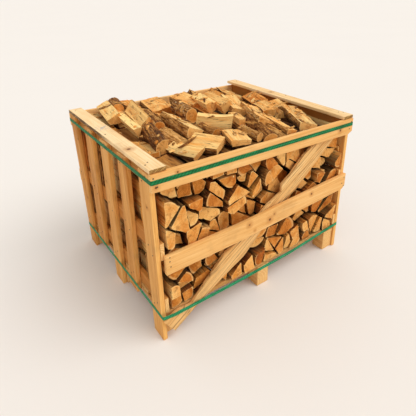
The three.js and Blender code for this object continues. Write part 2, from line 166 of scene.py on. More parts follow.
class Finish:
    def __init__(self, name):
        self.material = bpy.data.materials.new(name)
        self.material.use_nodes = True
        self.tree = self.material.node_tree
        self.shader = self.tree.nodes["Principled BSDF"]

    def add(self, kind, inputs=None, output=0, **settings):
        made = self.tree.nodes.new("ShaderNode" + kind)
        for key, value in settings.items():
            setattr(made, key, value)
        for key, value in (inputs or {}).items():
            if isinstance(value, bpy.types.NodeSocket):
                self.tree.links.new(value, made.inputs[key])
            else:
                made.inputs[key].default_value = value
        return made.outputs[output]

    def place(self):
        return self.add("TexCoord", output="Object")

    def read(self, name, output="Fac"):
        return self.add("Attribute", output=output, attribute_name=name)

    def math(self, operation, first, second=0.0):
        return self.add("Math", {0: first, 1: second}, operation=operation)

    def times(self, first, second):
        return self.math("MULTIPLY", first, second)

    def plus(self, base, value, share=1.0):  # the base and a share of the value
        return self.add("Math", {0: value, 1: share, 2: base}, operation="MULTIPLY_ADD")

    def vector(self, operation, first, second=(0, 0, 0), output=0):
        return self.add("VectorMath", {0: first, 1: second}, output=output, operation=operation)

    def stretch(self, vector, scale, offset=(0, 0, 0)):
        return self.add("Mapping", {"Vector": vector, "Scale": scale, "Location": offset})

    def noise(self, vector, stretch=None, scale=1.0, detail=3.0, rough=0.55, warp=0.0, offset=(0, 0, 0)):
        if stretch:
            vector = self.stretch(vector, stretch, offset)
        inputs = {"Vector": vector, "Scale": scale, "Detail": detail, "Roughness": rough, "Distortion": warp}
        return self.add("TexNoise", inputs)

    def bands(self, value, perMetre, detail=2):  # noise along one value alone
        return self.noise(self.add("CombineXYZ", {0: self.times(value, perMetre)}), detail=detail)

    def span(self, value, low, high, toLow=0.0, toHigh=1.0):
        inputs = {"Value": value, "From Min": low, "From Max": high, "To Min": toLow, "To Max": toHigh}
        return self.add("MapRange", inputs, clamp=True)

    def crease(self, value, width, *to):  # how near a noise is to its middle
        return self.span(self.math("ABSOLUTE", self.math("SUBTRACT", value, 0.5)), 0.0, width, *to)

    def pile(self, base, *layers):  # adds a share of each value, spread over its span
        for value, span, share in layers:
            base = self.plus(base, self.span(value, *span), share)
        return base

    def blend(self, share, first, second):
        if not isinstance(second, bpy.types.NodeSocket):
            second = paint(*second)
        return self.add("Mix", {0: share, 6: first, 7: second}, output=2, data_type="RGBA", blend_type="MIX")

    def coat(self, colour, vector, look):  # covers the colour where a noise is strong
        strong = self.span(self.noise(vector, **look["noise"]), *look["span"], 0.0, look["most"])
        return self.blend(strong, colour, look["colour"])

    def ramp(self, value, places, colours):
        made = self.tree.nodes.new("ShaderNodeValToRGB")
        self.tree.links.new(value, made.inputs[0])
        while len(made.color_ramp.elements) < len(places):
            made.color_ramp.elements.new(0.5)
        for element, place, colour in zip(made.color_ramp.elements, places, colours):
            element.position = place
            element.color = paint(*colour)
        return made.outputs[0]

    def wear(self, colour, height, look, dull=None):  # roughness is even, or spread over a noise
        self.tree.links.new(colour, self.shader.inputs["Base Color"])
        if dull:
            self.tree.links.new(self.span(dull, *look["rough"]), self.shader.inputs["Roughness"])
        else:
            self.shader.inputs["Roughness"].default_value = look["rough"]
        inputs = {"Height": height, "Distance": look["bump"], "Strength": look.get("bumpStrength", 0.6)}
        self.tree.links.new(self.add("Bump", inputs), self.shader.inputs["Normal"])
        self.shader.inputs["Specular IOR Level"].default_value = 0.25
        return self.material

    # Distance from the tree's heart, with the slow wander that curves the figure of a board
    def ringReach(self, grain, wander):
        around = self.vector("MULTIPLY", grain, (0, 1, 1))
        sway = self.noise(grain, (1.6, 9, 9), detail=2)
        return self.plus(self.vector("LENGTH", around, output="Value"), sway, wander)


pines = {  # late wood, early wood and the palest streaks
    "slatPine": ((182, 114, 48), (222, 160, 88), (240, 190, 120)),
    # the slats' narrow sides: a paler copy of the slat colours, painted light
    "slatSidePaintedLightPine": ((206, 138, 66), (242, 182, 102), (250, 206, 138)),
    "railPine": ((226, 164, 90), (241, 187, 117), (250, 208, 146)),
    "capPine": ((226, 180, 118), (246, 212, 160), (253, 232, 192)),
    "basePine": ((196, 134, 68), (230, 174, 106), (244, 200, 138)),
    "bracePine": ((204, 144, 78), (234, 182, 114), (248, 206, 142)),
}
pineGrain = {
    "ring": 0.013, "wander": 0.05, "ringSpan": (0.38, 0.62), "rings": -0.14, "streaks": 0.44, "broad": 0.36,
    "streakNoise": {"stretch": (5, 150, 150), "detail": 4, "warp": 0.3},
    "broadNoise": {"stretch": (1.5, 22, 22), "detail": 2},
    "places": (0.05, 0.45, 0.95), "bump": 0.0009, "ringBump": -0.35, "streakBump": 0.8,
    "rough": (0.2, 0.8, 0.62, 0.85),
    "flecks": {"noise": {"stretch": (22, 520, 520), "detail": 2}, "span": (0.62, 0.74), "most": 0.4,
               "colour": (146, 88, 36)},
    "stain": {"noise": {"scale": 7.0, "detail": 4}, "span": (0.56, 0.74), "most": 0.3, "colour": (150, 108, 66)},
}
pineKnots = {
    "pitch": (2.6, 2.6, 0.0), "size": 0.034, "spread": 1.5, "ragged": 0.4, "edge": {"scale": 260.0, "detail": 2},
    "halo": (1.1, 3.4), "haloMost": 0.5, "haloColour": (176, 104, 44), "bend": 0.012,
    "core": (0.7, 1.05), "coreMost": 0.9, "coreColour": (88, 48, 20), "coreBump": -0.8,
}
pineCracks = {  # of the brace: offset, stretch and width of each kind of crack
    "kinds": ((3.1, (0.9, 26, 26), 0.030), (7.7, (1.6, 64, 64), 0.022)),
    "most": 0.6, "colour": (84, 46, 18), "bump": -2.5,
}
# Knots and small holes in sight, [x, y, z, radius] in millimetres
knots = {
    "slatPine": [(-600, 404, 722, 6), (-600, 408, 345, 6), (-600, -20, 812, 3.5), (-600, 14, 618, 3.5),
                 (-600, -448, 690, 4), (-600, 216, 300, 4), (600, -440, 380, 6), (600, 30, 650, 5),
                 (600, 225, 250, 4)],
    "railPine": [(-580, -506, 795, 5), (-483, -506, 832, 4), (499, -506, 779, 6), (-124, -512, 453, 6),
                 (-89, -512, 407, 3.5), (9, -512, 430, 7), (38, -511, 450, 4), (310, -509, 468, 5),
                 (-260, 512, 430, 6), (180, 512, 446, 5), (340, 506, 802, 5)],
    "capPine": [(-572, -259, 870, 8), (566, 90, 858, 6)],
}
smear = {"place": (-564, 74, 870), "radius": 54, "noise": {"scale": 64.0, "detail": 2, "warp": 0.8},
         "span": (0.48, 0.60), "most": 0.8, "colour": (128, 146, 166)}
capSideShade = {  # painted shade on the left cap's outer side face, mottled
    "depth": -598.2, "from": -150, "to": 20, "noise": {"stretch": (14, 90, 90)}, "span": (0.3, 0.5, 0.45, 1.0),
    "colour": (104, 76, 42),
}


def capMarksAndShade(f, grain, colour):
    place = f.place()
    away = f.vector("DISTANCE", place, [value * mm for value in smear["place"]], "Value")
    near = f.span(away, 0.0, smear["radius"] * mm, 1.0, 0.0)
    smudge = f.span(f.noise(place, **smear["noise"]), *smear["span"])
    colour = f.blend(f.times(f.times(near, smudge), smear["most"]), colour, smear["colour"])
    sideways, lengthways = (f.add("SeparateXYZ", {0: place}, output=axis) for axis in ("X", "Y"))
    # painted shade on the outer side face, growing from the middle of the cap to its far end
    onEdge = f.span(sideways, (capSideShade["depth"] - 1) * mm, capSideShade["depth"] * mm, 1.0, 0.0)
    onEdge = f.times(onEdge, f.span(lengthways, capSideShade["from"] * mm, capSideShade["to"] * mm))
    mottle = f.span(f.noise(grain, **capSideShade["noise"]), *capSideShade["span"])
    return f.blend(f.times(onEdge, mottle), colour, capSideShade["colour"])


def pineMaterial(name, tones):
    f = Finish(name)
    grain, place = f.read("grain", "Vector"), f.place()
    spread = f.stretch(grain, pineKnots["pitch"])
    knotGap = f.add("TexVoronoi", {"Vector": spread, "Scale": 1.0}, output="Distance")
    knotGap = f.math("DIVIDE", knotGap, pineKnots["size"])
    for x, y, z, size in knots.get(name, []):
        away = f.vector("DISTANCE", place, (x * mm, y * mm, z * mm), "Value")
        knotGap = f.math("MINIMUM", knotGap, f.math("DIVIDE", away, size * pineKnots["spread"] * mm))
    knotGap = f.plus(knotGap, f.noise(place, **pineKnots["edge"]), pineKnots["ragged"])
    nearKnot = f.span(knotGap, *pineKnots["halo"], 1.0, 0.0)
    inKnot = f.span(knotGap, *pineKnots["core"], 1.0, 0.0)
    reach = f.plus(f.ringReach(grain, pineGrain["wander"]), nearKnot, pineKnots["bend"])
    rings = f.span(f.bands(reach, 1 / pineGrain["ring"]), *pineGrain["ringSpan"])
    streaks = f.noise(grain, **pineGrain["streakNoise"])
    broad = f.noise(grain, **pineGrain["broadNoise"])
    mixed = f.pile(f.plus(f.read("tone"), rings, pineGrain["rings"]), (streaks, middling, pineGrain["streaks"]),
                   (broad, middling, pineGrain["broad"]))
    colour = f.coat(f.ramp(mixed, pineGrain["places"], tones), grain, pineGrain["flecks"])
    colour = f.blend(f.times(nearKnot, pineKnots["haloMost"]), colour, pineKnots["haloColour"])
    colour = f.blend(f.times(inKnot, pineKnots["coreMost"]), colour, pineKnots["coreColour"])
    colour = f.coat(colour, place, pineGrain["stain"])
    if name == "capPine":
        colour = capMarksAndShade(f, grain, colour)
    height = f.plus(f.times(rings, pineGrain["ringBump"]), streaks, pineGrain["streakBump"])
    height = f.plus(height, inKnot, pineKnots["coreBump"])
    if name == "bracePine":
        for offset, scale, width in pineCracks["kinds"]:
            split = f.noise(grain, scale, detail=1, warp=0.1, offset=(offset, 0, 0))
            line = f.crease(split, width, pineCracks["most"], 0.0)
            colour = f.blend(line, colour, pineCracks["colour"])
            height = f.plus(height, line, pineCracks["bump"])
    return f.wear(colour, height, pineGrain, streaks)


boardEnds = {  # the sawn ends of the boards
    "boardEnd": ((190, 126, 62), (232, 178, 110), (253, 216, 150)),
    "capEnd": ((84, 56, 26), (142, 104, 54), (214, 170, 106)),
}
boardEndGrain = {
    "wander": 0.004, "rings": 260.0, "ringSpan": (0.36, 0.64), "ringShare": 0.5, "ringBump": 0.6,
    "grit": {"scale": 240.0, "detail": 4, "rough": 0.7}, "gritSpan": (0.2, 0.8, 0.0, 0.6),
    "places": (0.1, 0.5, 0.9), "rough": 0.88, "bump": 0.0008,
}


def boardEndMaterial(name, tones):
    f = Finish(name)
    look = boardEndGrain
    rings = f.bands(f.ringReach(f.read("grain", "Vector"), look["wander"]), look["rings"])
    grit = f.noise(f.place(), **look["grit"])
    mixed = f.pile(f.span(grit, *look["gritSpan"]), (rings, look["ringSpan"], look["ringShare"]))
    colour = f.ramp(mixed, look["places"], tones)
    return f.wear(colour, f.plus(grit, rings, look["ringBump"]), look)


# Each kind of wood from its deepest to its palest colour, the colours of the bark, and the colour of painted shade
# deep in the gaps
ash = {"end": ((168, 90, 22), (222, 144, 62), (246, 190, 112)),
       "split": ((152, 80, 20), (241, 162, 70), (255, 219, 144))}
oak = {"end": ((122, 56, 12), (196, 108, 32), (234, 160, 76)),
       "split": ((96, 42, 9), (200, 110, 32), (242, 168, 78))}
barks = {"dark": (24, 11, 3), "mid": (124, 74, 29), "pale": (204, 144, 74), "worn": (226, 172, 102),
         "lichen": (234, 212, 166), "rim": (254, 214, 142), "grey": (190, 142, 84), "gap": (24, 9, 2)}
woodPlaces = (0.06, 0.5, 0.97)


# Painted shade: the colour blends towards a near black brown where the deep attribute says a surface lies deep between
# the logs
def paintDeepShade(f, colour, most):
    return f.blend(f.times(f.read("deep"), most), colour, barks["gap"])


# The wood's colour at a tone from 0 to 1, between ash and oak as the log's own share says
def woodColour(f, tone, face):
    light, deep = (f.ramp(tone, woodPlaces, kind[face]) for kind in (ash, oak))
    return f.blend(f.read("oak"), light, deep)


sawnLook = {
    "wander": 0.004, "ring": 0.0046, "ringShare": 0.04, "start": -0.32,
    "rays": {"stretch": (1, 34, 34), "rough": 0.7}, "rayShare": 0.18, "rayBump": 0.6,
    "cloud": {"scale": 24.0, "detail": 4}, "cloudShare": 0.40,
    "patch": {"scale": 9.0, "detail": 2}, "patchSpan": (0.35, 0.65), "patchShare": 0.34,
    "grit": {"scale": 420.0, "detail": 2}, "gritShare": 0.10,
    "arcs": 120.0, "arcShare": 0.30,
    "opening": {"stretch": (1, 6, 6), "detail": 1}, "openingWidth": 0.012, "openingCloud": (0.42, 0.56),
    "openingMost": 0.75,
    "stain": {"noise": {"scale": 34.0, "detail": 5, "rough": 0.7}, "span": (0.52, 0.66), "most": 0.6,
              "colour": (154, 82, 24)},
    "rimSpan": (0.66, 1.0), "rimCloud": (0.38, 0.6, 0.1, 0.8),
    "sapwood": (0.80, 0.90, 0.0, 0.4), "bark": (0.945, 0.96, 0.0, 0.9), "rough": 0.85, "bump": 0.0012,
}


def sawnEndMaterial():
    f = Finish("sawnEnd")
    look = sawnLook
    grain = f.read("grain", "Vector")
    reach = f.ringReach(grain, look["wander"])
    rings = f.math("SINE", f.times(reach, 2 * math.pi / look["ring"]))
    around = f.vector("MULTIPLY", grain, (0, 1, 1))
    aroundHeart = f.vector("NORMALIZE", around)
    rays = f.noise(aroundHeart, **look["rays"])
    cloud, patch, grit = (f.noise(grain, **look[key]) for key in ("cloud", "patch", "grit"))
    opening = f.crease(f.noise(aroundHeart, **look["opening"]), look["openingWidth"], 1.0, 0.0)
    check = f.times(opening, f.span(cloud, *look["openingCloud"]))
    mixed = f.pile(f.read("endTone"), (cloud, middling, look["cloudShare"]),
                   (patch, look["patchSpan"], look["patchShare"]),
                   (f.bands(reach, look["arcs"], 3), middling, look["arcShare"]))
    mixed = f.pile(f.plus(mixed, rings, look["ringShare"]), (rays, middling, look["rayShare"]),
                   (grit, middling, look["gritShare"]))
    colour = woodColour(f, f.math("ADD", mixed, look["start"]), "end")
    colour = f.coat(colour, grain, look["stain"])
    rim = f.times(f.span(f.read("rim"), *look["rimSpan"]), f.span(cloud, *look["rimCloud"]))
    colour = f.blend(rim, colour, barks["rim"])
    shell = f.math("DIVIDE", f.vector("LENGTH", around, output="Value"), f.read("girth"))
    colour = f.blend(f.span(shell, *look["sapwood"]), colour, barks["rim"])
    colour = f.blend(f.span(shell, *look["bark"]), colour, barks["mid"])
    colour = f.blend(f.times(check, look["openingMost"]), colour, barks["dark"])
    return f.wear(colour, f.math("SUBTRACT", f.plus(grit, rays, look["rayBump"]), check), look)


splitLook = {
    "fibres": {"stretch": (9, 190, 190), "detail": 5, "rough": 0.65, "warp": 0.12}, "fibreShare": 0.60,
    "broad": {"stretch": (3.5, 24, 24)}, "broadShare": 0.50, "broadBump": 0.5, "start": -0.22,
    "tears": {"stretch": (16, 130, 130), "warp": 0.08, "offset": (5.2, 0, 0)}, "tearSpan": (0.60, 0.67),
    "tearMost": 0.75, "tearColour": (92, 46, 14),
    "grime": {"noise": {"scale": 21.0, "detail": 6, "rough": 0.72}, "span": (0.55, 0.72), "most": 0.42,
              "colour": (134, 76, 26)},
    "grit": {"noise": {"scale": 190.0, "detail": 2}, "span": (0.66, 0.76), "most": 0.6, "colour": (70, 36, 14)},
    "weather": {"stretch": (6, 40, 40), "detail": 4}, "weatherSpan": (0.35, 0.65),
    "darkest": 0.92, "rough": (0.2, 0.8, 0.72, 0.92), "bump": 0.0024, "bumpStrength": 0.9,
}


def splitMaterial():
    f = Finish("splitFace")
    look = splitLook
    grain, place = f.read("grain", "Vector"), f.place()
    fibres, broad, tears, weather = (f.noise(grain, **look[key]) for key in ("fibres", "broad", "tears", "weather"))
    mixed = f.pile(f.read("sideTone"), (fibres, middling, look["fibreShare"]), (broad, middling, look["broadShare"]))
    colour = woodColour(f, f.math("ADD", mixed, look["start"]), "split")
    tear = f.span(tears, *look["tearSpan"])
    colour = f.blend(f.times(tear, look["tearMost"]), colour, look["tearColour"])
    colour = f.coat(f.coat(colour, place, look["grime"]), place, look["grit"])
    worn = f.times(f.read("weather"), f.span(weather, *look["weatherSpan"]))
    # painted shade on split faces that lie deep between the logs
    colour = paintDeepShade(f, f.blend(worn, colour, barks["grey"]), look["darkest"])
    return f.wear(colour, f.math("SUBTRACT", f.plus(fibres, broad, look["broadBump"]), tear), look, fibres)


barkLook = {
    "sway": {"stretch": (9, 30, 30), "detail": 2}, "ridgeStretch": (8, 74, 74), "ridges": {"rough": 0.6, "warp": 0.5},
    "furrowWidth": 0.11, "furrowShare": 0.36, "shadeShare": 0.5,
    "plateStretch": (24, 58, 58), "plateSpan": (0.0, 0.16), "plateShare": 0.12, "plateBump": 0.4,
    "fine": {"stretch": (70, 240, 240), "detail": 4, "rough": 0.7}, "fineShare": 0.26, "fineBump": 0.4,
    "cloud": {"scale": 19.0, "detail": 5}, "cloudSpan": (0.35, 0.7), "cloudShare": 0.24,
    "tones": ("dark", "mid", "pale", "worn"), "places": (0.16, 0.54, 0.90, 1.0),
    "spots": {"stretch": (60, 100, 100), "offset": (1.7, 0, 0)}, "spotSpan": (0.57, 0.64),
    "darkest": 0.94, "rough": 0.92, "bump": 0.003, "bumpStrength": 0.9,
}


def barkMaterial():
    f = Finish("bark")
    look = barkLook
    grain = f.read("grain", "Vector")
    sway = f.noise(grain, **look["sway"])
    shifted = f.vector("ADD", f.stretch(grain, look["ridgeStretch"]), f.add("CombineXYZ", {0: sway, 1: sway, 2: sway}))
    furrow = f.crease(f.noise(shifted, **look["ridges"]), look["furrowWidth"])
    breaks = f.add("TexVoronoi", {"Vector": f.stretch(grain, look["plateStretch"]), "Scale": 1.0},
                   output="Distance", feature="DISTANCE_TO_EDGE")
    plate = f.span(breaks, *look["plateSpan"])
    fine, spots = (f.noise(grain, **look[key]) for key in ("fine", "spots"))
    mixed = f.plus(f.times(f.read("shade"), look["shadeShare"]), furrow, look["furrowShare"])
    mixed = f.pile(f.plus(mixed, plate, look["plateShare"]), (fine, middling, look["fineShare"]),
                   (f.noise(f.place(), **look["cloud"]), look["cloudSpan"], look["cloudShare"]))
    colour = f.ramp(mixed, look["places"], [barks[tone] for tone in look["tones"]])
    lichen = f.times(f.span(spots, *look["spotSpan"]), f.read("lichen"))
    # painted shade on bark that lies deep between the logs
    colour = paintDeepShade(f, f.blend(lichen, colour, barks["lichen"]), look["darkest"])
    return f.wear(colour, f.plus(f.plus(furrow, plate, look["plateBump"]), fine, look["fineBump"]), look)


strapLook = {
    "slant": 38, "press": 0.013, "pressShare": 0.18, "scuff": {"stretch": (14, 160, 0)}, "scuffSpan": (0.3, 0.75),
    "places": (0.1, 0.6, 1.0), "rough": 0.55, "bump": 0.0005,
    # the foot strap is a lighter copy of the strap colours: painted light
    "tones": {"topStrap": ((0, 80, 40), (4, 118, 64), (32, 152, 94)),
              "footStrapPaintedLight": ((8, 104, 60), (38, 144, 96), (76, 178, 130))},
}


def strapMaterial(name, tones):
    f = Finish(name)
    look = strapLook
    run = f.read("grain", "Vector")
    slant = f.add("Mapping", {"Vector": run, "Rotation": (0, 0, math.radians(look["slant"]))})
    across = f.add("SeparateXYZ", {0: slant}, output="X")
    press = f.math("SINE", f.times(across, 2 * math.pi / look["press"]))
    mixed = f.plus(f.span(f.noise(run, **look["scuff"]), *look["scuffSpan"]), press, look["pressShare"])
    return f.wear(f.ramp(mixed, look["places"], tones), press, look)


nailLook = {"dirt": {"scale": 900.0, "detail": 2}, "tones": ((58, 44, 34), (120, 104, 90)), "metallic": 0.6,
            "rough": 0.55, "bump": 0.0002}


def nailMaterial():
    f = Finish("nailSteel")
    dirt = f.noise(f.place(), **nailLook["dirt"])
    f.shader.inputs["Metallic"].default_value = nailLook["metallic"]
    return f.wear(f.ramp(dirt, middling, nailLook["tones"]), dirt, nailLook)


finishes = {name: pineMaterial(name, tones) for name, tones in pines.items()}
finishes.update({name: boardEndMaterial(name, tones) for name, tones in boardEnds.items()})
finishes.update({name: strapMaterial(name, tones) for name, tones in strapLook["tones"].items()})
finishes.update(sawnEnd=sawnEndMaterial(), splitFace=splitMaterial(), bark=barkMaterial(), nail=nailMaterial())
logFinishes = ("sawnEnd", "splitFace", "bark")
print("materials made")


# Boards: each is the frame's own board, with worn edges, waves, grain and nails

boards = {
    "edge": 1.6 * mm, "step": 28 * mm, "across": 24 * mm, "merge": 0.02 * mm, "flat": 0.6, "smooth": 38,
    "wave": 0.9 * mm, "waveScale": 6.0, "wane": 2.4 * mm, "chipScale": 34.0, "waneScale": 5.0,
    "heartAcross": 0.12, "heartDeep": (0.02, 0.05), "facing": 0.8, "tone": 0.02, "toneSpread": 0.18,
    # tone shifts per board: the middle and bottom rails darker as painted shade behind the slats, the right top rail
    # darker as painted shade under its cap, the back top rail lighter as painted light on its shaded inner face
    "shifts": {"right_top_rail": -0.25, "back_top_rail": 0.25, "left_cap_board": 0.1, "left_top_rail": -0.1,
               "left_middle_rail": -0.18, "left_bottom_rail": -0.18, "right_middle_rail": -0.18,
               "right_bottom_rail": -0.18},
    "inside": {"right_top_rail": -0.45},  # painted shade on the rail's inner face, below the cap
    "ends": {"capPine": "capEnd"}, "narrowSides": {"slatPine": "slatSidePaintedLightPine"},
}
boardDraw = makeRandom(7331)


def cutMesh(place, facing, **settings):
    bpy.ops.mesh.select_all(action="SELECT")
    bpy.ops.mesh.bisect(plane_co=place, plane_no=facing, **settings)


def cutAlong(axis, low, high, pitch):
    pieces = max(2, round((high - low) / pitch))
    for i in range(1, pieces):
        cutMesh(Vector(axis) * (low + (high - low) * i / pieces), axis)


def boardFrom(node, finish, along, across, facing, edge=boards["edge"], rough=1.0):
    piece = copyOf(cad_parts[node], f"{node}_timber")
    piece.data.materials.clear()
    for name in (finish, boards["ends"].get(finish, "boardEnd"), boards["narrowSides"].get(finish, finish)):
        piece.data.materials.append(finishes[name])
    startEdit(piece)
    bpy.ops.mesh.remove_doubles(threshold=boards["merge"])
    bpy.ops.mesh.dissolve_limited(angle_limit=math.radians(boards["flat"]))
    bpy.ops.mesh.bevel(offset=edge, segments=2, affect="EDGES")
    endEdit()
    points = pointsOf(piece)
    axes = [Vector(v).normalized() for v in (along, across, facing)]
    reach = [(float((points @ np.array(a)).min()), float((points @ np.array(a)).max())) for a in axes]
    startEdit(piece)
    cutAlong(axes[0], *reach[0], boards["step"])
    cutAlong(axes[1], *reach[1], boards["across"])
    endEdit()
    points, normals = pointsOf(piece), normalsOf(piece)
    seed = 10 * boardDraw()
    wave = 0.5 + 0.5 * bump3(points, boards["waveScale"], seed)
    waney = np.maximum(0, bump3(points, boards["waneScale"], seed + 7) + 0.2)
    chip = np.maximum(0, bump3(points, boards["chipScale"], seed + 3)) * waney
    points -= normals * (wave * boards["wave"] * rough + chip * boards["wane"] * rough)[:, None]
    setPoints(piece, points)
    heartAcross = (boardDraw() - 0.5) * boards["heartAcross"]
    heartDeep = atLeast(boardDraw, *boards["heartDeep"])
    local = np.stack([points @ np.array(a) for a in axes], axis=1)
    middle = [(low + high) / 2 for low, high in reach]
    shift = np.array([3 * boardDraw(), heartAcross - middle[1], heartDeep - middle[2]])
    store(piece, "grain", local + shift, "FLOAT_VECTOR")
    shade = boards["tone"] + boards["shifts"].get(node, 0.0) + boards["toneSpread"] * (boardDraw() - 0.5)
    # painted shade on the inner half of the boards listed under inside
    store(piece, "tone", shade + boards["inside"].get(node, 0.0) * (local[:, 2] < middle[2]))
    looks = [next((look for look in (1, 2) if abs(axes[look - 1].dot(face.normal)) > boards["facing"]), 0)
             for face in piece.data.polygons]
    piece.data.polygons.foreach_set("material_index", looks)
    pickUp(piece)
    bpy.ops.object.shade_smooth_by_angle(angle=math.radians(boards["smooth"]))
    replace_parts(piece, node)
    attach(piece, "root")
    return piece


made = {}
for side in ("left", "right"):
    for number in range(1, 6):
        node = f"{side}_slat_{number}"
        made[node] = boardFrom(node, "slatPine", upZ, upY, upX)
    for part in ("bottom_rail", "middle_rail", "top_rail"):
        node = f"{side}_{part}"
        made[node] = boardFrom(node, "slatPine", upY, upZ, upX)
    made[f"{side}_cap_board"] = boardFrom(f"{side}_cap_board", "capPine", upY, upX, upZ)
for side, sign in (("front", 1), ("back", -1)):
    for part in ("top_rail", "middle_board"):
        made[f"{side}_{part}"] = boardFrom(f"{side}_{part}", "railPine", upX, upZ, upY)
    run, rise = (0.84 * sign, 0, 0.54), (-0.54 * sign, 0, 0.84)
    made[f"{side}_brace"] = boardFrom(f"{side}_brace", "bracePine", run, rise, upY,
                                      edge=2.5 * mm, rough=2.4)
for row in ("front", "centre", "back"):
    for column in ("left", "middle", "right"):
        boardFrom(f"{row}_{column}_foot", "basePine", upY, upZ, upX, edge=2.4 * mm)
for column in ("left", "middle", "right"):
    boardFrom(f"{column}_bearer", "basePine", upY, upX, upZ)
for number in range(1, 7):
    boardFrom(f"deck_plank_{number}", "basePine", upX, upY, upZ)
print("boards made")


# Nail places in millimetres; a height is read at the middle of the board it is driven through

nails = {
    "sides": 12, "radius": 3.4 * mm, "height": 1.6 * mm, "edge": 0.35 * mm, "sink": 0.3,
    "slatMiddles": [(-440, -440), (-185, -230), (20, -20), (240, 193), (440, 440)],  # at the foot and at the head
    "slatFeet": [0, 94, 0, 115, 0], "slatHead": 852, "slatFace": 600, "jog": 17,
    "slatHeights": {"left": (178, -206, -462, 498, 798, -828), "right": (178, -206, -462, 498, 798, -806)},
    "cap": [(-446, 588), (-428, 570), (-24, 584), (452, 576)], "capTop": 870, "capHalf": 485,
    "capDrop": {"left": 0, "right": 24},
    "top_rail": [(-588, 835), (-562, 818), (-574, 796), (586, 810), (562, 792), (574, 772)],
    "middle_board": [(-544, 409), (-547, 437), (-546, 457), (584, 480), (570, 446), (586, 428)],
    "panelFaces": {"top_rail": 505.3, "middle_board": 505.5},
}
letGo()
bpy.ops.mesh.primitive_cylinder_add(vertices=nails["sides"], radius=nails["radius"], depth=nails["height"])
masterNail = bpy.context.object
startEdit(masterNail)
bpy.ops.mesh.bevel(offset=nails["edge"], segments=1, affect="EDGES")
endEdit()
masterNail.data.materials.append(finishes["nail"])


def driveNails(board, spots, facing):
    turn = Vector(upZ).rotation_difference(Vector(facing)).to_matrix().to_4x4()
    heads = []
    for spot in spots:
        head = copyOf(masterNail, "nail")
        sink = Vector(facing) * (-nails["sink"] * nails["height"])
        head.data.transform(Matrix.Translation(Vector(spot) * mm + sink) @ turn)
        heads.append(head)
    joinAll([board] + heads, board.name)


for side, sign in (("left", -1), ("right", 1)):
    for number, ((foot, head), rise) in enumerate(zip(nails["slatMiddles"], nails["slatFeet"]), 1):
        spots = []
        for jogged in nails["slatHeights"][side]:  # a minus sign says which way the nail is off the middle
            height = abs(jogged)
            middle = foot + (head - foot) * (height - rise) / (nails["slatHead"] - rise)
            jog = math.copysign(nails["jog"], jogged)
            spots.append((sign * nails["slatFace"], sign * -(middle + jog), height))
        driveNails(made[f"{side}_slat_{number}"], spots, (sign, 0, 0))
    slope = nails["capDrop"][side] / (2 * nails["capHalf"])
    spots = [(sign * x, y, nails["capTop"] - slope * (nails["capHalf"] - y)) for y, x in nails["cap"]]
    driveNails(made[f"{side}_cap_board"], spots, upZ)
for side, sign in (("front", 1), ("back", -1)):
    for part, face in nails["panelFaces"].items():
        driveNails(made[f"{side}_{part}"], [(sign * x, -face * sign, z) for x, z in nails[part]], (0, -sign, 0))
throwAway(masterNail)
print("nails driven")


# Packing straps: a band extruded along its route, [x, y, lower edge z] in millimetres

straps = {
    "width": 19 * mm, "thickness": 1.0 * mm, "columns": 4, "bend": 7 * mm, "bendSteps": 4, "merge": 0.02 * mm,
    "top": [(-600.3, -505.9, 808.5), (0, -506.1, 797.5), (600.3, -505.9, 787.5), (600.3, 505.9, 798.5),
            (-600.3, 505.9, 804.5)],
    "foot": [(-600.3, -503.0, 139.5), (-540, -507.0, 135.5), (-150, -501.5, 126.5), (200, -495.5, 128.5),
             (600.3, -485.3, 148.5), (600.3, 503.0, 139.5), (540, 507.0, 135.5), (-600.3, 485.3, 116.5)],
}


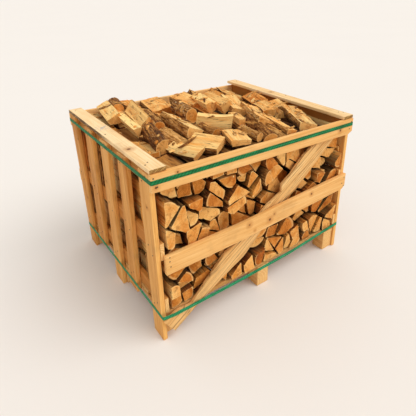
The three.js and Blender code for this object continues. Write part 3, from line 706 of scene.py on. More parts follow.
def strapBand(name, route, finish):
    corners = [Vector(p) * mm for p in route]
    count = len(corners)
    path = []
    for i, corner in enumerate(corners):
        back = (corners[i - 1] - corner).normalized()
        on = (corners[(i + 1) % count] - corner).normalized()
        if back.dot(on) < -0.9:  # a slight bend
            path.append(corner)
            continue
        for step in range(straps["bendSteps"] + 1):
            share = step / straps["bendSteps"]
            start, stop = corner + back * straps["bend"], corner + on * straps["bend"]
            path.append(start.lerp(corner, share).lerp(corner.lerp(stop, share), share))
    path.append(path[0])
    letGo()
    bpy.ops.mesh.primitive_plane_add(size=straps["width"], location=path[0] + Vector((0, 0, straps["width"] / 2)),
                                     rotation=(math.pi / 2, 0, 0))
    band = bpy.context.object
    settle(band)
    for parts in (band.data.polygons, band.data.edges):
        parts.foreach_set("select", [False] * len(parts))
    band.data.vertices.foreach_set("select", [vertex.co.x > path[0].x for vertex in band.data.vertices])
    bpy.ops.object.mode_set(mode="EDIT")
    bpy.ops.mesh.delete(type="VERT")
    bpy.ops.mesh.select_all(action="SELECT")
    bpy.ops.transform.translate(value=(straps["width"] / 2, 0, 0))
    bpy.ops.mesh.subdivide(number_cuts=straps["columns"] - 1)
    for start, stop in zip(path, path[1:]):
        bpy.ops.mesh.extrude_edges_move(TRANSFORM_OT_translate={"value": stop - start})
    bpy.ops.mesh.select_all(action="SELECT")
    bpy.ops.mesh.remove_doubles(threshold=straps["merge"])
    bpy.ops.mesh.normals_make_consistent(inside=False)
    endEdit()
    thicken = band.modifiers.new("thickness", "SOLIDIFY")
    thicken.thickness = straps["thickness"]
    thicken.offset = 1.0
    bpy.ops.object.modifier_apply(modifier="thickness")
    turnOutwards(band)
    points = pointsOf(band)
    starts, stops = np.array(path[:-1]), np.array(path[1:])
    steps = stops - starts
    runs = np.linalg.norm(steps[:, :2], axis=1)
    begun = np.concatenate([[0], np.cumsum(runs)[:-1]])
    offset = points[:, None, :2] - starts[None, :, :2]
    along = np.clip((offset * steps[None, :, :2]).sum(2) / np.maximum(runs, 1e-9) ** 2, 0, 1)
    near = starts[None, :, :2] + along[:, :, None] * steps[None, :, :2]
    best = np.argmin(np.linalg.norm(points[:, None, :2] - near, axis=2), axis=1)
    along = along[np.arange(len(points)), best]
    run = begun[best] + along * runs[best]
    edgeHeight = starts[best, 2] + along * steps[best, 2]
    store(band, "grain", np.stack([run, points[:, 2] - edgeHeight, 0 * run], axis=1), "FLOAT_VECTOR")
    band.data.materials.append(finishes[finish])
    rename(band, name)
    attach(band, "root")
    return band


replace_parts(strapBand("top_strap_band", straps["top"], "topStrap"), "top_strap")
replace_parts(strapBand("foot_strap_band", straps["foot"], "footStrapPaintedLight"), "foot_strap")
print("straps pulled tight")


# Firewood: the sections of the stacked logs come from the same seeds and cuts as the frame's rows

stack = {
    "face": [(-555, 149.9), (555, 149.9), (555, 740), (410, 815), (-555, 822)], "walls": (1, 4),
    "heartPitch": (146, 122), "heartJitter": 46, "leastSection": 900, "logGap": (1.5, 4), "splitTurn": 0.65,
    "logArea": {"front": (5200, 7000), "middle": (6400, 8400), "back": (7600, 9800)},
    "sideHollow": 9, "heartReach": (0.2, 0.5), "barkReach": (0.74, 0.26), "barkFacet": 0.6,
    "seeds": {"front": 90121, "middle": 4177, "back": 60317},
    "span": {"front": (-430, -168), "middle": (-165, 152), "back": (155, 430)},
    "endScatter": 34, "evenShare": 0.15,
}
endLimits = {  # how far out a log's end may stand behind each board and strap; a lean is a slope and its start
    "open": 500, "braceLine": ((-547, 43), (401, 666)), "braceSpan": (-48, 120), "brace": 485.8,
    "braceLean": (0.0221, 573), "boards": 484, "boardSpan": (371, 477.5), "railFoot": 740,
    "strap": 504.7, "strapLean": (0.01903, 540), "strapHead": 169.5,
}


def edgesOf(outline):
    return zip(outline, outline[1:] + outline[:1])


def sideOf(start, stop):  # which way an outline's side faces, and how far out it lies
    (u, v), (nextU, nextV) = start, stop
    length = math.hypot(nextU - u, nextV - v)
    nu, nv = (nextV - v) / length, (u - nextU) / length
    return nu, nv, nu * u + nv * v


def trim(outline, nu, nv, reach):
    kept = []
    for p, q in edgesOf(outline):
        before = nu * p[0] + nv * p[1] - reach
        after = nu * q[0] + nv * q[1] - reach
        if before <= 0:
            kept.append(p)
        if before * after < 0:
            share = before / (before - after)
            kept.append((p[0] + share * (q[0] - p[0]), p[1] + share * (q[1] - p[1])))
    return kept


def areaAndCentre(outline):
    area, centreU, centreV = 0.0, 0.0, 0.0
    for (u, v), (nextU, nextV) in edgesOf(outline):
        cross = (u * nextV - nextU * v) / 2
        area += cross
        centreU += cross * (u + nextU) / 3
        centreV += cross * (v + nextV) / 3
    return (area, (centreU / area, centreV / area)) if area else (0.0, (0.0, 0.0))


def shrink(outline, distance):
    kept = outline
    for start, stop in edgesOf(outline):
        nu, nv, reach = sideOf(start, stop)
        kept = trim(kept, nu, nv, reach - distance)
    return kept


def splitSection(outline, row, draw):
    area, centre = areaAndCentre(outline)
    if area < atLeast(draw, *stack["logArea"][row]):
        return [outline]
    farthest = max(outline, key=lambda p: math.dist(p, centre))
    angle = math.atan2(farthest[1] - centre[1], farthest[0] - centre[0]) + eitherWay(draw, stack["splitTurn"])
    nu, nv = toward(angle)
    reach = nu * centre[0] + nv * centre[1]
    first = splitSection(trim(outline, nu, nv, reach), row, draw)
    return first + splitSection(trim(outline, -nu, -nv, -reach), row, draw)


def stackSections(row, draw):
    face = stack["face"]
    floor = face[0][1]
    pitchU, pitchV = stack["heartPitch"]
    tiers = int((face[3][1] - floor) / pitchV + 0.5)
    perRow = int((face[1][0] - face[0][0]) / pitchU + 0.5)
    hearts = []
    for tier in range(tiers):
        for i in range(perRow):
            u = face[0][0] + (i + 0.25 + 0.5 * (tier % 2)) * pitchU
            v = floor + (tier + 0.5) * pitchV
            jogU, jogV = (eitherWay(draw, stack["heartJitter"]) for axis in "uv")
            hearts.append((u + jogU, v + jogV))
    sections = []
    for heart in hearts:
        cell = face
        for other in hearts:
            if other is not heart:
                nu, nv = other[0] - heart[0], other[1] - heart[1]
                cell = trim(cell, nu, nv, (nu * (other[0] + heart[0]) + nv * (other[1] + heart[1])) / 2)
        if len(cell) > 2:
            sections.append(cell)
    return [part for cell in sections for part in splitSection(cell, row, draw)]


# The tree's heart, the radius of its bark, and the section's outline with its bark side round
def heartOfSection(outline, draw):
    area, centre = areaAndCentre(outline)
    size = math.sqrt(max(area, 0))
    side = draw() * 2 * math.pi
    heartReach = atLeast(draw, *stack["heartReach"]) * size
    heart = [middle - heartReach * part for middle, part in zip(centre, toward(side))]
    farthest = max((math.dist(p, heart) for p in outline), default=0)
    radius = farthest * atLeast(draw, *stack["barkReach"])
    rounded = outline
    for step in (-1, 0, 1):
        nu, nv = toward(side + step * stack["barkFacet"])
        rounded = trim(rounded, nu, nv, nu * heart[0] + nv * heart[1] + radius)
    return heart, radius, rounded


def endLimit(outline):
    across, up = zip(*outline)
    (footX, footZ), (headX, headZ) = endLimits["braceLine"]
    length = math.hypot(headX - footX, headZ - footZ)
    nu, nv = -(headZ - footZ) / length, (headX - footX) / length
    above = [nu * (u - footX) + nv * (v - footZ) for u, v in outline]
    limits = [endLimits["open"]]
    if min(above) < endLimits["braceSpan"][1] and max(above) > endLimits["braceSpan"][0]:
        slope, start = endLimits["braceLean"]
        limits.append(endLimits["brace"] - slope * (max(across) + start))
    underBoard = max(up) > endLimits["boardSpan"][0] and min(up) < endLimits["boardSpan"][1]
    if underBoard or max(up) > endLimits["railFoot"]:
        limits.append(endLimits["boards"])
    if min(up) < endLimits["strapHead"]:
        slope, start = endLimits["strapLean"]
        limits.append(endLimits["strap"] - slope * (max(across) + start))
    return min(limits)


# One log: a round billet cut by its split faces, with cross cuts where it shows

logLook = {
    "sides": 30, "gridPitch": 12 * mm, "fibre": 1.2 * mm, "torn": 3.0 * mm, "furrow": 2.4 * mm, "warp": 2.2 * mm,
    "ledge": 2.6 * mm, "ledgeStep": 0.16, "swerve": 6 * mm, "tilt": 0.15, "tiltReach": 60 * mm,
    "endRough": 0.9 * mm, "chip": 3.2 * mm, "chipReach": 16 * mm, "end": 0.2 * mm, "smooth": 42,
    "endFacing": 0.8, "rimFacing": 0.98, "barkFaces": 0.975, "barkPoints": 0.985,
    "taper": 0.14, "twist": 0.10, "bow": 7 * mm,
}
logNoise = {  # the scale of each noise, and what it adds to the log's own seed
    "fibre": ((110, 12, 110), 0), "torn": ((40, 4, 40), 2), "furrow": ((52, 14, 52), 5),
    "ledge": ((26, 1.6, 26), 17), "swerve": ((15, 2.5, 15), 23), "chip": (42.0, 31),
    "warpAcross": ((3, 5, 3), 9), "warpUp": ((3, 5, 3), 13), "end": (60.0, 21),
}
lookDraw = makeRandom(5501)


def planesOf(outline):
    sides = [sideOf(*side) for side in edgesOf(outline) if math.dist(*side) > 0.5]
    return [(nu, nv, reach * mm) for nu, nv, reach in sides]


def splitLog(heart, radius, planes, low, high, crossCuts, pitch, name="log"):
    letGo()
    bpy.ops.mesh.primitive_cylinder_add(vertices=logLook["sides"], radius=radius, depth=high - low,
                                        location=(heart[0], (low + high) / 2, heart[1]),
                                        rotation=(math.pi / 2, 0, 0))
    log = bpy.context.object
    log.name = name
    settle(log)
    startEdit(log)
    for nu, nv, reach in planes:
        cutMesh((nu * reach, 0, nv * reach), (nu, 0, nv), use_fill=True, clear_outer=True)
    for y in crossCuts:
        cutMesh((0, y, 0), upY)
    endEdit()
    if pitch and len(log.data.vertices):
        points = pointsOf(log)
        startEdit(log)
        for axis, column in ((upX, 0), (upZ, 2)):
            cutAlong(axis, points[:, column].min(), points[:, column].max(), pitch)
        endEdit()
    return log


# Gives a log its finishes, the wood's figure, torn and furrowed sides, chipped edges and uneven ends
def dressLog(log, heart, radius, low, high, look, strength=1.0):
    mesh = log.data
    for finish in logFinishes:
        mesh.materials.append(finishes[finish])
    normals, centres = readVectors(mesh.polygons, "normal"), readVectors(mesh.polygons, "center")
    reach = np.hypot(centres[:, 0] - heart[0], centres[:, 2] - heart[1])
    sides = np.where(reach > logLook["barkFaces"] * radius, 2, 1)
    kinds = np.where(np.abs(normals[:, 1]) > logLook["endFacing"], 0, sides)
    mesh.polygons.foreach_set("material_index", kinds.astype(np.int32))
    points, vertexNormals = pointsOf(log), normalsOf(log)
    seed = 40 * lookDraw()
    onBark = np.hypot(points[:, 0] - heart[0], points[:, 2] - heart[1]) > logLook["barkPoints"] * radius
    nearEnd = np.minimum(points[:, 1] - low, high - points[:, 1])
    atEnd = nearEnd < logLook["end"]
    local = points - np.array([heart[0], 0, heart[1]])

    def bumps(name, at=local):
        scale, shift = logNoise[name]
        return bump3(at, scale, seed + shift)

    store(log, "grain", local[:, [1, 0, 2]] + np.array([seed, 0, 0]), "FLOAT_VECTOR")
    store(log, "rim", atEnd & (np.abs(vertexNormals[:, 1]) < logLook["rimFacing"]))
    for name, value in dict(look, girth=radius, deep=0).items():
        store(log, name, value)
    torn = np.maximum(0, bumps("torn")) * logLook["torn"]
    ledge = np.clip(bumps("ledge") / logLook["ledgeStep"], 0, 1) * logLook["ledge"]
    swerve = np.maximum(0, bumps("swerve")) * logLook["swerve"]
    split = ((0.5 + 0.5 * bumps("fibre")) * logLook["fibre"] + torn + ledge) * strength + swerve
    furrowed = (1 - np.abs(bumps("furrow"))) ** 3 * logLook["furrow"] * strength
    chip = np.maximum(0, bumps("chip")) * np.clip(1 - nearEnd / logLook["chipReach"], 0, 1)
    push = vertexNormals * (np.where(onBark, furrowed, split) + chip * logLook["chip"])[:, None]
    push[atEnd, 1] = 0
    points -= push
    warp = logLook["warp"] * strength
    points[:, 0] += warp * bumps("warpAcross")
    points[:, 2] += warp * bumps("warpUp") - 0.5 * warp
    tiltU, tiltV = (eitherWay(lookDraw, logLook["tilt"]) for axis in "uv")
    centreU, centreV = ((points[:, axis].min() + points[:, axis].max()) / 2 for axis in (0, 2))
    tilt = tiltU * (points[:, 0] - centreU) + tiltV * (points[:, 2] - centreV)
    inward = np.where(points[:, 1] < (low + high) / 2, tilt - tilt.min(), tilt - tilt.max())
    points[:, 1] += inward * np.clip(1 - nearEnd / logLook["tiltReach"], 0, 1)
    rough = (bumps("end", points) - 1) * logLook["endRough"] * atEnd
    points[:, 1] += rough * np.sign(points[:, 1] - (low + high) / 2)
    setPoints(log, points)


# The loose logs of each row and, below, the named ones: x, y, top, length, turn, dip, girth, and their split faces
settled = {
    "front": [
        (-327, -198, 868, 205, 1, 2, 44, [(-90, 0.5)]),
        (-351, -339, 856, 169, 23, 2, 42, [(108, 0.2), (-60, 0.5)]),
        (-492, -206, 846, 180, -3, 1, 54, [(85, 0.2)]),
        (-8, -373, 864, 123, 15, 3, 26, [(-90, 0.9)]),
        (-156, -239, 878, 125, 7, 2, 31, [(30, 0.9)]),
        (62, -250, 850, 240, -6, 1, 50, [(85, 0.4)]),
        (54, -196, 880, 140, -14, 1, 30, [(90, 0.7), (0, 0.7), (180, 0.7), (-90, 0.7)]),
        (311, -129, 877, 187, -22, 0, 42, [(100, 0.4)]),
        (176, -206, 895, 290, -21, 1, 54, [(66, 0.15)]),
        (191, -358, 862, 243, -10, 2, 34, [(75, 0.3)]),
        (133, -360, 850, 231, -9, 7, 44, [(-90, 0.5)]),
        (-470, -400, 832, 150, 8, 1, 50, [(88, 0.3)]),
        (490, -325, 800, 220, -6, 1, 50, [(100, 0.4)]),
    ],
    "middle": [
        (-300, 10, 858, 280, -4, 1, 56, [(75, 0.3)]),
        (-312, 29, 897, 234, -10, 1, 32, [(-90, 0.5), (170, 0.7)]),
        (-99, 78, 902, 194, -2, 1, 44, [(20, 0.85)]),
        (40, 60, 850, 280, -8, 1, 50, [(85, 0.5)]),
        (65, 121, 906, 225, -10, 0, 46, [(100, 0.4), (200, 0.6)]),
        (418, -121, 860, 250, -28, 0, 56, [(110, 0.2)]),
        (300, 40, 852, 280, -22, 1, 54, [(60, 0.4)]),
        (500, -60, 800, 260, -3, 1, 42, [(110, 0.3)]),
        (-490, -10, 846, 290, -3, 1, 50, [(70, 0.3)]),
        (-190, 60, 856, 250, 3, 1, 50, [(75, 0.3)]),
    ],
    "back": [
        (-380, 320, 860, 300, -4, 1, 54, [(88, 0.3)]),
        (-361, 400, 902, 150, -12, 1, 42, [(-90, 0.5)]),
        (-270, 310, 858, 290, 2, 1, 50, [(100, 0.4)]),
        (-290, 326, 882, 290, -6, 2, 44, [(80, 0.1)]),
        (-127, 342, 866, 260, -8, 0, 74, [(98, 0.5), (-90, 0.7)]),
        (42, 263, 882, 270, -2, 0, 66, [(95, 0.4)]),
        (160, 320, 870, 280, -20, 1, 60, [(60, 0.3)]),
        (290, 320, 860, 280, -12, 1, 62, [(120, 0.3)]),
        (430, 330, 840, 270, -6, 1, 62, [(75, 0.3)]),
        (-500, 330, 846, 280, -2, 1, 48, [(80, 0.3)]),
    ],
}
topLogs = {
    "back_left": (-437, 294, 908, 290, -9, 1, 54, [(118, 0.25), (20, 0.5), (-90, 0.7)]),
    "split_pale": (-431, 71, 887, 305, -5, 1, 56, [(90, 0.4), (203, 0.28), (-23, 0.28)]),
    "half_round": (-340, 135, 917, 300, -7, 3, 46, [(138, 0.05), (-88, 0.6)]),
    "thick": (-237, -111, 902, 288, -2, 2, 54, [(66, 0.35), (-40, 0.5), (-100, 0.7)]),
    "dark_bark": (-408, -171, 891, 235, -10, 3, 46, [(-12, 0.3), (-90, 0.7)]),
    "squared": (-87, -198, 910, 187, 49, 1, 56, [(90, 0.55), (-90, 0.6), (0, 0.5), (180, 0.5)]),
    "slab": (-242, -346, 866, 153, 37, 2, 70, [(98, 0.2), (-85, 0.3), (8, 0.8)]),
    "speckled": (-99, -376, 870, 149, -19, 3, 62, [(80, 0.2), (-90, 0.3), (195, 0.7)]),
    "two_tone": (110, 68, 918, 247, -6, 1, 50, [(112, 0.4), (205, 0.5), (-60, 0.7)]),
    "long": (189, 5, 893, 300, -24, 2, 50, [(80, 0.3), (-90, 0.6)]),
    "block": (443, 98, 862, 225, -18, 0, 58, [(112, 0.25), (-80, 0.5), (25, 0.6)]),
    "grey": (375, -308, 863, 310, -23, 3, 58, [(76, 0.15), (-90, 0.5)]),
    "oak_bark": (80, -350, 865, 229, -12, 9, 46, [(-90, 0.55)]),
}
# What is seen of the named logs, from 0 to 1: the tones of their ends and sides, oak, weather, bark shade, lichen
topLooks = {
    "back_left": (0.30, 0.62, 0.15, 0.10, 0.3, 0.0), "split_pale": (0.35, 0.85, 0.10, 0.00, 0.4, 0.0),
    "half_round": (0.15, 0.62, 0.35, 0.10, 0.3, 0.0), "thick": (0.40, 0.60, 0.10, 0.45, 0.5, 0.2),
    "dark_bark": (0.30, 0.40, 0.40, 0.10, 0.0, 0.1), "squared": (0.60, 0.58, 0.15, 0.15, 0.4, 0.5),
    "slab": (0.40, 0.50, 0.15, 0.35, 0.4, 0.2), "speckled": (0.40, 0.45, 0.20, 0.50, 0.6, 0.7),
    "two_tone": (0.35, 0.45, 0.30, 0.30, 0.6, 0.4), "long": (0.40, 0.50, 0.10, 0.35, 0.5, 0.2),
    "block": (0.30, 0.25, 0.85, 0.10, 0.2, 0.1), "grey": (0.40, 0.45, 0.05, 0.70, 0.5, 0.3),
    "oak_bark": (0.30, 0.30, 0.80, 0.20, 0.1, 0.0),
}
# The same for loose logs that show, by row and place in the table
settledLooks = {
    ("back", 1): (0.30, 0.35, 0.3, 0.2, 0.2, 0.3), ("back", 4): (0.10, 0.35, 0.45, 0.0, 0.3, 0.0),
    ("back", 9): (0.35, 0.55, 0.1, 0.1, 0.4, 0.1), ("back", 2): (0.15, 0.35, 0.3, 0.2, 0.2, 0.3),
    ("middle", 2): (0.30, 0.40, 0.2, 0.2, 0.2, 0.7), ("middle", 1): (0.10, 0.50, 0.3, 0.1, 0.3, 0.1),
    ("middle", 8): (0.20, 0.15, 0.5, 0.2, 0.1, 0.1), ("front", 4): (0.20, 0.30, 0.5, 0.2, 0.2, 0.1),
}
lookNames = ("endTone", "sideTone", "oak", "weather", "shade", "lichen")
topLook = {
    # endLighter makes the laid logs' ends paler: partly the sawn ends' own paler wood, partly painted light on ends
    # that face away from the sun
    "facets": 8, "barkShare": 0.98, "lastCross": 0.4, "strength": 1.4, "endLighter": 0.26, "oakShare": 0.5,
    "named": (7 * mm, 11 * mm), "settled": (10 * mm, 15 * mm),  # the pitch of the mesh across and along the log
    "sideTone": (0.06, 0.75),
}
chance = {"endTone": (0.62, 1.2), "oak": (1.0, 1.6), "weather": (0.5, 2), "shade": 0.9, "lichen": 0.5}
# Painted shade: how the deep attribute darkens the load towards the bottom of its gaps, behind the row ends and away
# from the walls
deepShadeLook = {"reach": 64 * mm, "top": 845 * mm, "fall": 40 * mm, "floor": 780 * mm, "most": 0.97, "below": 0.3,
            "sideStart": 300 * mm, "sideDrop": 0.12, "power": 0.7,
            "wall": 549 * mm, "wallReach": 36 * mm, "wallMost": 0.9, "wallPower": 0.8}


def anyLook(sideTones):
    endTone = chance["endTone"][0] * lookDraw() ** chance["endTone"][1]
    sideTone = atLeast(lookDraw, *sideTones)
    kinds = [chance[name][0] * lookDraw() ** chance[name][1] for name in ("oak", "weather")]
    values = [endTone, sideTone, *kinds, chance["shade"] * lookDraw(), max(0, lookDraw() - chance["lichen"])]
    return dict(zip(lookNames, values))


def sinkShade(piece):  # the load's upper layer darkens towards the bottom of its gaps
    points = pointsOf(piece)
    height = points[:, 2]
    top = deepShadeLook["top"] - deepShadeLook["sideDrop"] * np.maximum(0, points[:, 0] - deepShadeLook["sideStart"])
    sunk = np.clip((top - height) / deepShadeLook["fall"], 0, 1) * deepShadeLook["most"]
    store(piece, "deep", np.where(height > deepShadeLook["floor"], sunk, deepShadeLook["below"]))


def layLog(entry, name, look, pitch, cross):
    x, y, top, length, turn, dip, girth, cuts = entry
    angles = [(i + 0.5) * 2 * math.pi / topLook["facets"] for i in range(topLook["facets"])]
    outline = [(girth * u, girth * v) for u, v in map(toward, angles)]
    planes = []
    for degrees, share in cuts:
        nu, nv = toward(math.radians(degrees))
        outline = trim(outline, nu, nv, share * girth)
        planes.append((nu, nv, share * girth * mm))
    centre = areaAndCentre(outline)[1]
    highest = max(v for u, v in outline)
    low, high = -length / 2 * mm, length / 2 * mm
    radius = girth * mm * topLook["barkShare"]
    crossCuts = np.arange(low + cross, high - topLook["lastCross"] * cross, cross)
    log = splitLog((0, 0), radius, planes, low, high, crossCuts, pitch, name)
    dressLog(log, (0, 0), radius, low, high, look, topLook["strength"])
    points = pointsOf(log) - np.array([centre[0], 0, highest]) * mm
    along = points[:, 1] / high
    slim = 1 - logLook["taper"] * lookDraw() * (0.5 + 0.5 * along * (1 if lookDraw() > 0.5 else -1))
    twist = eitherWay(lookDraw, logLook["twist"]) * along
    bowAngle = 2 * math.pi * lookDraw()
    bow = logLook["bow"] * lookDraw() * (along ** 2 - 0.5)
    u, v = points[:, 0] * slim + bow * math.cos(bowAngle), points[:, 2] * slim + bow * math.sin(bowAngle)
    points[:, 0], points[:, 2] = u * np.cos(twist) - v * np.sin(twist), u * np.sin(twist) + v * np.cos(twist)
    laid = Matrix.Rotation(math.radians(turn), 3, "Z") @ Matrix.Rotation(math.radians(dip), 3, "X")
    setPoints(log, points @ np.array(laid).T + np.array([x, y, top]) * mm)
    sinkShade(log)
    return log


def finishLogs(piece, *nodes):
    pickUp(piece)
    bpy.ops.object.shade_smooth_by_angle(angle=math.radians(logLook["smooth"]))
    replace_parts(piece, *nodes)
    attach(piece, "root")
    print(piece.name, sum(len(face.vertices) - 2 for face in piece.data.polygons), "triangles")


rowLook = {
    "wall": 522, "deck": 2, "top": (770, 380, 0.5),  # where a log counts as seen, and how the top falls to the right
    "sunk": (12 * mm, 0.62), "length": {"front": 262, "back": 275}, "cuts": (14, 6, 20), "endCuts": (3, 12, 30, 60),
    "turn": 3.2, "shrink": 0.025, "lean": 0.014, "sideTone": (-0.25, 0.55),
    # wallTone, wallOak and wallShade make the logs against the walls paler: painted light on the logs seen between the
    # slats
    "wallTone": 0.34, "wallOak": 0.5, "wallShade": 0.25,
}


def logRow(row):
    draw = makeRandom(stack["seeds"][row])
    low, high = stack["span"][row]
    topHeight, topStart, topSlope = rowLook["top"]
    first, last, step = (value * mm for value in rowLook["cuts"])
    logs = []
    for cell in stackSections(row, draw):
        hollow = stack["sideHollow"] * draw()
        worn = cell
        for wall in stack["walls"]:
            wallX = stack["face"][wall][0]
            worn = trim(worn, math.copysign(1, wallX), 0, abs(wallX) - hollow)
        section = shrink(worn, atLeast(draw, *stack["logGap"]))
        heart, radius, rounded = heartOfSection(section, draw)
        area, centre = areaAndCentre(rounded)
        if len(rounded) < 3 or area < stack["leastSection"]:
            continue
        span = [low * mm, high * mm]
        atWall = any(abs(u) > rowLook["wall"] for u, v in worn)
        onDeck = any(v < stack["face"][0][1] + rowLook["deck"] for u, v in worn)
        if row != "middle":
            outward = rounded if row == "front" else [(-u, v) for u, v in rounded]
            even = stack["evenShare"] if atWall or onDeck else 1
            reach = (endLimit(outward) - even * stack["endScatter"] * draw() ** 2) * mm
            recess, start = rowLook["sunk"]
            sunk = even * recess * max(0, lookDraw() - start) / (1 - start)
            length = rowLook["length"][row]
            span = [sunk - reach, (low + length) * mm] if row == "front" else [(high - length) * mm, reach - sunk]
        atTop = any(v > topHeight - max(0, u - topStart) * topSlope for u, v in worn)
        seen = atWall or atTop
        if seen:
            cuts = np.arange(span[0] + first, span[1] - last, step)
        elif row == "front":
            cuts = [span[0] + depth * mm for depth in rowLook["endCuts"]]
        elif row == "back":
            cuts = [span[1] - depth * mm for depth in rowLook["endCuts"]]
        else:
            cuts = []
        pitch = logLook["gridPitch"] if seen or row != "middle" else 0
        angle = math.radians(eitherWay(lookDraw, rowLook["turn"]))
        slim = 1 - rowLook["shrink"] * lookDraw()

        def nudge(p):
            u, v = (p[0] - centre[0]) * slim, (p[1] - centre[1]) * slim
            return (centre[0] + u * math.cos(angle) - v * math.sin(angle),
                    centre[1] + u * math.sin(angle) + v * math.cos(angle))

        heart = [value * mm for value in nudge(heart)]
        girth = radius * slim * mm
        log = splitLog(heart, girth, planesOf([nudge(p) for p in section]), *span, cuts, pitch)
        if not len(log.data.polygons):
            bpy.data.objects.remove(log)
            continue
        look = anyLook(rowLook["sideTone"])
        # painted light: logs against the walls are made paler
        if atWall:
            look["sideTone"] += rowLook["wallTone"]
            look["oak"] *= rowLook["wallOak"]
            look["shade"] += rowLook["wallShade"]
        dressLog(log, heart, girth, *span, look)
        points = pointsOf(log)
        # painted shade: logs that are not seen darken further in behind their ends
        if row != "middle" and not seen:
            behind = points[:, 1] - span[0] if row == "front" else span[1] - points[:, 1]
            store(log, "deep", np.clip(behind / deepShadeLook["reach"], 0, 1) ** deepShadeLook["power"])
        # painted shade: logs against the walls darken away from the slats
        if atWall:
            behind = np.clip((deepShadeLook["wall"] - np.abs(points[:, 0])) / deepShadeLook["wallReach"], 0, 1)
            store(log, "deep", deepShadeLook["wallMost"] * behind ** deepShadeLook["wallPower"])
        lean = [eitherWay(lookDraw, rowLook["lean"]) for axis in (0, 2)]
        for axis, slope in zip((0, 2), lean):
            points[:, axis] += slope * (points[:, 1] - (span[0] + span[1]) / 2)
        setPoints(log, points)
        if atTop and not atWall:
            sinkShade(log)
        logs.append(log)
    for i, entry in enumerate(settled[row]):
        look = anyLook(topLook["sideTone"])
        look.update(endTone=look["endTone"] + topLook["endLighter"], oak=topLook["oakShare"] * look["oak"])
        look.update(zip(lookNames, settledLooks.get((row, i), ())))
        logs.append(layLog(entry, f"settled_{i}", look, *topLook["settled"]))
    print(row, "row:", len(logs), "logs")
    return joinAll(logs, f"{row}_logs")


rowPieces = {row: logRow(row) for row in ("front", "middle", "back")}
namedPieces = {}
for name, entry in topLogs.items():
    look = dict(zip(lookNames, topLooks[name]))
    look["endTone"] += topLook["endLighter"]
    namedPieces[name] = layLog(entry, f"{name}_log", look, *topLook["named"])
print("firewood stacked")


# Scraps of bark and splinters that lie where they fell on the load; sizes are length, width and thickness

scraps = {
    "count": 980, "seed": 71993, "field": (1060 * mm, 900 * mm), "level": (780 * mm, 903 * mm), "slope": 0.5,
    "from": 1.2, "leastShare": 0.14, "rightward": (0.7, 1.1), "lift": 0.3, "curl": 4, "turn": 7,
    "flake": ((9, 50), (6, 24), (2, 6)), "splinter": ((22, 64), (3, 6), (2, 4)),
    "strip": ((60, 120), (10, 24), (3, 6)), "cuts": {"flake": 3, "splinter": 2, "strip": 3},
    "splinterShare": 0.05, "stripShare": 0.09, "barkShare": 0.55, "noise": 2.2, "narrow": (1.6, 1.5), "ragged": 0.34,
    "look": ((0.4, 0, 0), (0.25, 0.6, 8), (0, 0.5, 7), (0, 0.2, 6), (0, 1, 5), (-0.3, 1, 3)),  # least, gain, draw
}


def scrapShape(name, across, along=6):
    letGo()
    bpy.ops.mesh.primitive_cube_add(size=1)
    shape = bpy.context.object
    startEdit(shape)
    for axis, pieces in ((upX, along), (upY, across)):
        cutAlong(axis, -0.5, 0.5, 1 / pieces)
    endEdit()
    for finish in logFinishes:
        shape.data.materials.append(finishes[finish])
    shape.name = name
    return shape


def breakOff(shape, name, size, seed, kind):  # a copy with ragged faces, narrower towards its ends
    piece = copyOf(shape, name)
    points = pointsOf(piece)
    ragged = np.stack([bump3(points, kind["noise"], seed + shift) for shift in (0, 11, 23)], axis=1)
    narrow = 1 - kind["narrow"][0] * np.abs(points[:, :1]) ** kind["narrow"][1]
    points = points * np.concatenate([np.ones_like(narrow), narrow, narrow], axis=1) + ragged * kind["ragged"]
    return piece, points * size


def dressScrap(piece, grain, isBark, look, deep=0.0):
    store(piece, "grain", grain, "FLOAT_VECTOR")
    for name, value in dict(look, rim=0, girth=1, deep=deep).items():
        store(piece, name, value)
    piece.data.polygons.foreach_set("material_index", [2 if isBark else 1] * len(piece.data.polygons))


def dropScraps(pieces):
    draw = makeRandom(scraps["seed"])
    shapes = {kind: scrapShape(f"{kind}_shape", cuts) for kind, cuts in scraps["cuts"].items()}
    fallen = {piece.name: [] for piece in pieces}
    for i in range(scraps["count"]):
        x, y = ((draw() - 0.5) * reach for reach in scraps["field"])
        values = [draw() for _ in range(9)]
        start, slope = scraps["rightward"]
        share = (y / scraps["field"][1] + 0.5) * (start + slope * x / scraps["field"][0])
        if values[8] > scraps["leastShare"] + (1 - scraps["leastShare"]) * share:
            continue
        above = Vector((x, y, scraps["from"]))
        hits = [(*piece.ray_cast(above, Vector((0, 0, -1)))[:3], piece) for piece in pieces]
        hits = [hit for hit in hits if hit[0]]
        if not hits:
            continue
        _, place, normal, under = max(hits, key=lambda hit: hit[1].z)
        if not scraps["level"][0] < place.z < scraps["level"][1] or normal.z < scraps["slope"]:
            continue
        kind = "flake"
        if values[0] < scraps["splinterShare"]:
            kind = "splinter"
        elif values[0] > 1 - scraps["stripShare"]:
            kind = "strip"
        isBark = kind == "strip" or kind == "flake" and values[1] < scraps["barkShare"]
        size = [(low + (high - low) * value) * mm for (low, high), value in zip(scraps[kind], values[2:5])]
        scrap, points = breakOff(shapes[kind], "scrap", np.array(size), 50 * values[5], scraps)
        points[:, 2] += size[2] * scraps["lift"] + (values[6] - 0.5) * scraps["curl"] * points[:, 0] ** 2
        look = [max(0, least + gain * values[number]) for least, gain, number in scraps["look"]]
        dressScrap(scrap, points + 30 * values[7], isBark, zip(lookNames, look))
        turn = Vector(upZ).rotation_difference(normal).to_matrix()
        turn = turn @ Matrix.Rotation(scraps["turn"] * values[6], 3, "Z")
        setPoints(scrap, points @ np.array(turn).T + np.array(place))
        fallen[under.name].append(scrap)
    for piece in pieces:
        joinAll([piece] + fallen[piece.name], piece.name)
    for shape in shapes.values():
        throwAway(shape)


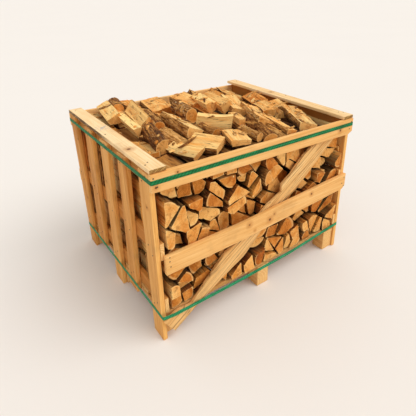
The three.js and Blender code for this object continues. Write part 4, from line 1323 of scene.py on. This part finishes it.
# Slabs of bark and wood that stand on the inner rails, in the space between the stack and the slats:
# side, foot, height, middle along Y, width, bark outside
slabs = {
    "seed": 40817, "middle": 567.4, "thickness": 17, "between": (557, 578.6), "cuts": (5, 18), "deep": 0.1,
    "noise": (5, 2.4, 1), "narrow": (2.72, 3), "ragged": (0.02, 0.16, 0.14), "sideTone": (-0.2, 0.35),
    "pieces": [(-1, 234, 192, 402, 56, True), (-1, 234, 158, 456, 50, False), (-1, 525, 246, 398, 54, False),
               (-1, 525, 240, 450, 62, True), (-1, 525, 130, 330, 40, True), (1, 525, 197, -386, 60, True),
               (1, 525, 136, -440, 44, False), (1, 234, 166, -410, 54, False), (1, 234, 120, -350, 40, True),
               (1, 525, 188, 420, 58, True), (-1, 234, 152, -340, 44, True), (-1, 525, 124, -345, 40, False),
               (-1, 525, 240, -408, 60, False), (-1, 234, 196, -404, 58, True), (1, 234, 150, 402, 52, False),
               (1, 525, 214, 446, 40, False), (-1, 525, 238, 160, 46, True), (1, 525, 204, 168, 50, True),
               (-1, 525, 170, -165, 44, False), (1, 234, 186, 176, 48, True)],
}


def standSlabs():
    draw = makeRandom(slabs["seed"])
    shape = scrapShape("slab_shape", *slabs["cuts"])
    stood = {"front": [], "back": []}
    for side, low, height, middle, width, isBark in slabs["pieces"]:
        size = np.array([height, width, slabs["thickness"]]) * mm
        slab, points = breakOff(shape, "slab", size, 40 * draw(), slabs)
        grain = points + 30 * draw()
        # the slabs take a slight painted shade through the deep attribute
        dressScrap(slab, grain, isBark, dict(anyLook(slabs["sideTone"]), lichen=0, weather=0), slabs["deep"])
        away = np.clip(slabs["middle"] * mm + points[:, 2], *(value * mm for value in slabs["between"]))
        upward = low * mm + points[:, 0] - points[:, 0].min()
        setPoints(slab, np.stack([side * away, middle * mm + points[:, 1], upward], axis=1))
        turnOutwards(slab)
        stood["front" if middle < 0 else "back"].append(slab)
    for row, pieces in stood.items():
        joinAll([rowPieces[row]] + pieces, rowPieces[row].name)
    throwAway(shape)


dropScraps(list(rowPieces.values()) + list(namedPieces.values()))
standSlabs()
for row, piece in rowPieces.items():
    finishLogs(piece, f"{row}_log_row")
for name, piece in namedPieces.items():
    finishLogs(piece, f"top_log_{name}")
print("scraps dropped")


# Floor, light and camera

studio = {"floor": (232, 227, 221), "floorSize": 1200, "haze": {"scale": 0.4, "detail": 1},
          "rough": 0.9, "bump": 0.0001, "bumpStrength": 0.05,
          "sky": (246, 243, 239), "skyStrength": 0.9, "sunTurn": (38, 0, 38), "sunStrength": 1.36, "sunSoftness": 46}

letGo()
bpy.ops.mesh.primitive_plane_add(size=studio["floorSize"], location=(0, 0, 0))
floor = bpy.context.object
floor.name = "studio_floor"
ground = Finish("studioFloor")
haze = ground.noise(ground.place(), **studio["haze"])
floorTone = ground.ramp(haze, middling, (studio["floor"], [value + 1 for value in studio["floor"]]))
floor.data.materials.append(ground.wear(floorTone, haze, studio))

world = bpy.data.worlds.new("studioSky")
world.use_nodes = True
world.node_tree.nodes["Background"].inputs["Color"].default_value = paint(*studio["sky"])
world.node_tree.nodes["Background"].inputs["Strength"].default_value = studio["skyStrength"]
bpy.context.scene.world = world

letGo()
bpy.ops.object.light_add(type="SUN", rotation=[math.radians(v) for v in studio["sunTurn"]])
sun = bpy.context.object
sun.data.energy = studio["sunStrength"]
sun.data.angle = math.radians(studio["sunSoftness"])

view = {"azimuth": -34.226, "elevation": 23.353, "roll": -1.557, "distance": 2.16909, "target": (0, 0, 0.60375),
        "focal": 378.198, "centre": (207.559, 154.566), "frame": 416, "sensor": 36}
azimuth, elevation, roll = (math.radians(view[key]) for key in ("azimuth", "elevation", "roll"))
turns = ((azimuth, "Z"), (math.pi / 2 - elevation, "X"), (roll, "Z"))
turned = Matrix()
for angle, axis in turns:
    turned = turned @ Matrix.Rotation(angle, 4, axis)
letGo()
bpy.ops.object.camera_add()
camera = bpy.context.object
place = Vector(view["target"]) + turned @ Vector((0, 0, view["distance"]))
camera.matrix_world = Matrix.Translation(place) @ turned
camera.data.sensor_width = view["sensor"]
camera.data.lens = view["focal"] * view["sensor"] / view["frame"]
camera.data.shift_x = (view["frame"] / 2 - view["centre"][0]) / view["frame"]
camera.data.shift_y = (view["centre"][1] - view["frame"] / 2) / view["frame"]
camera.data.clip_end = 200
bpy.context.scene.camera = camera
bpy.context.scene.view_settings.view_transform = "Standard"
print("studio set")
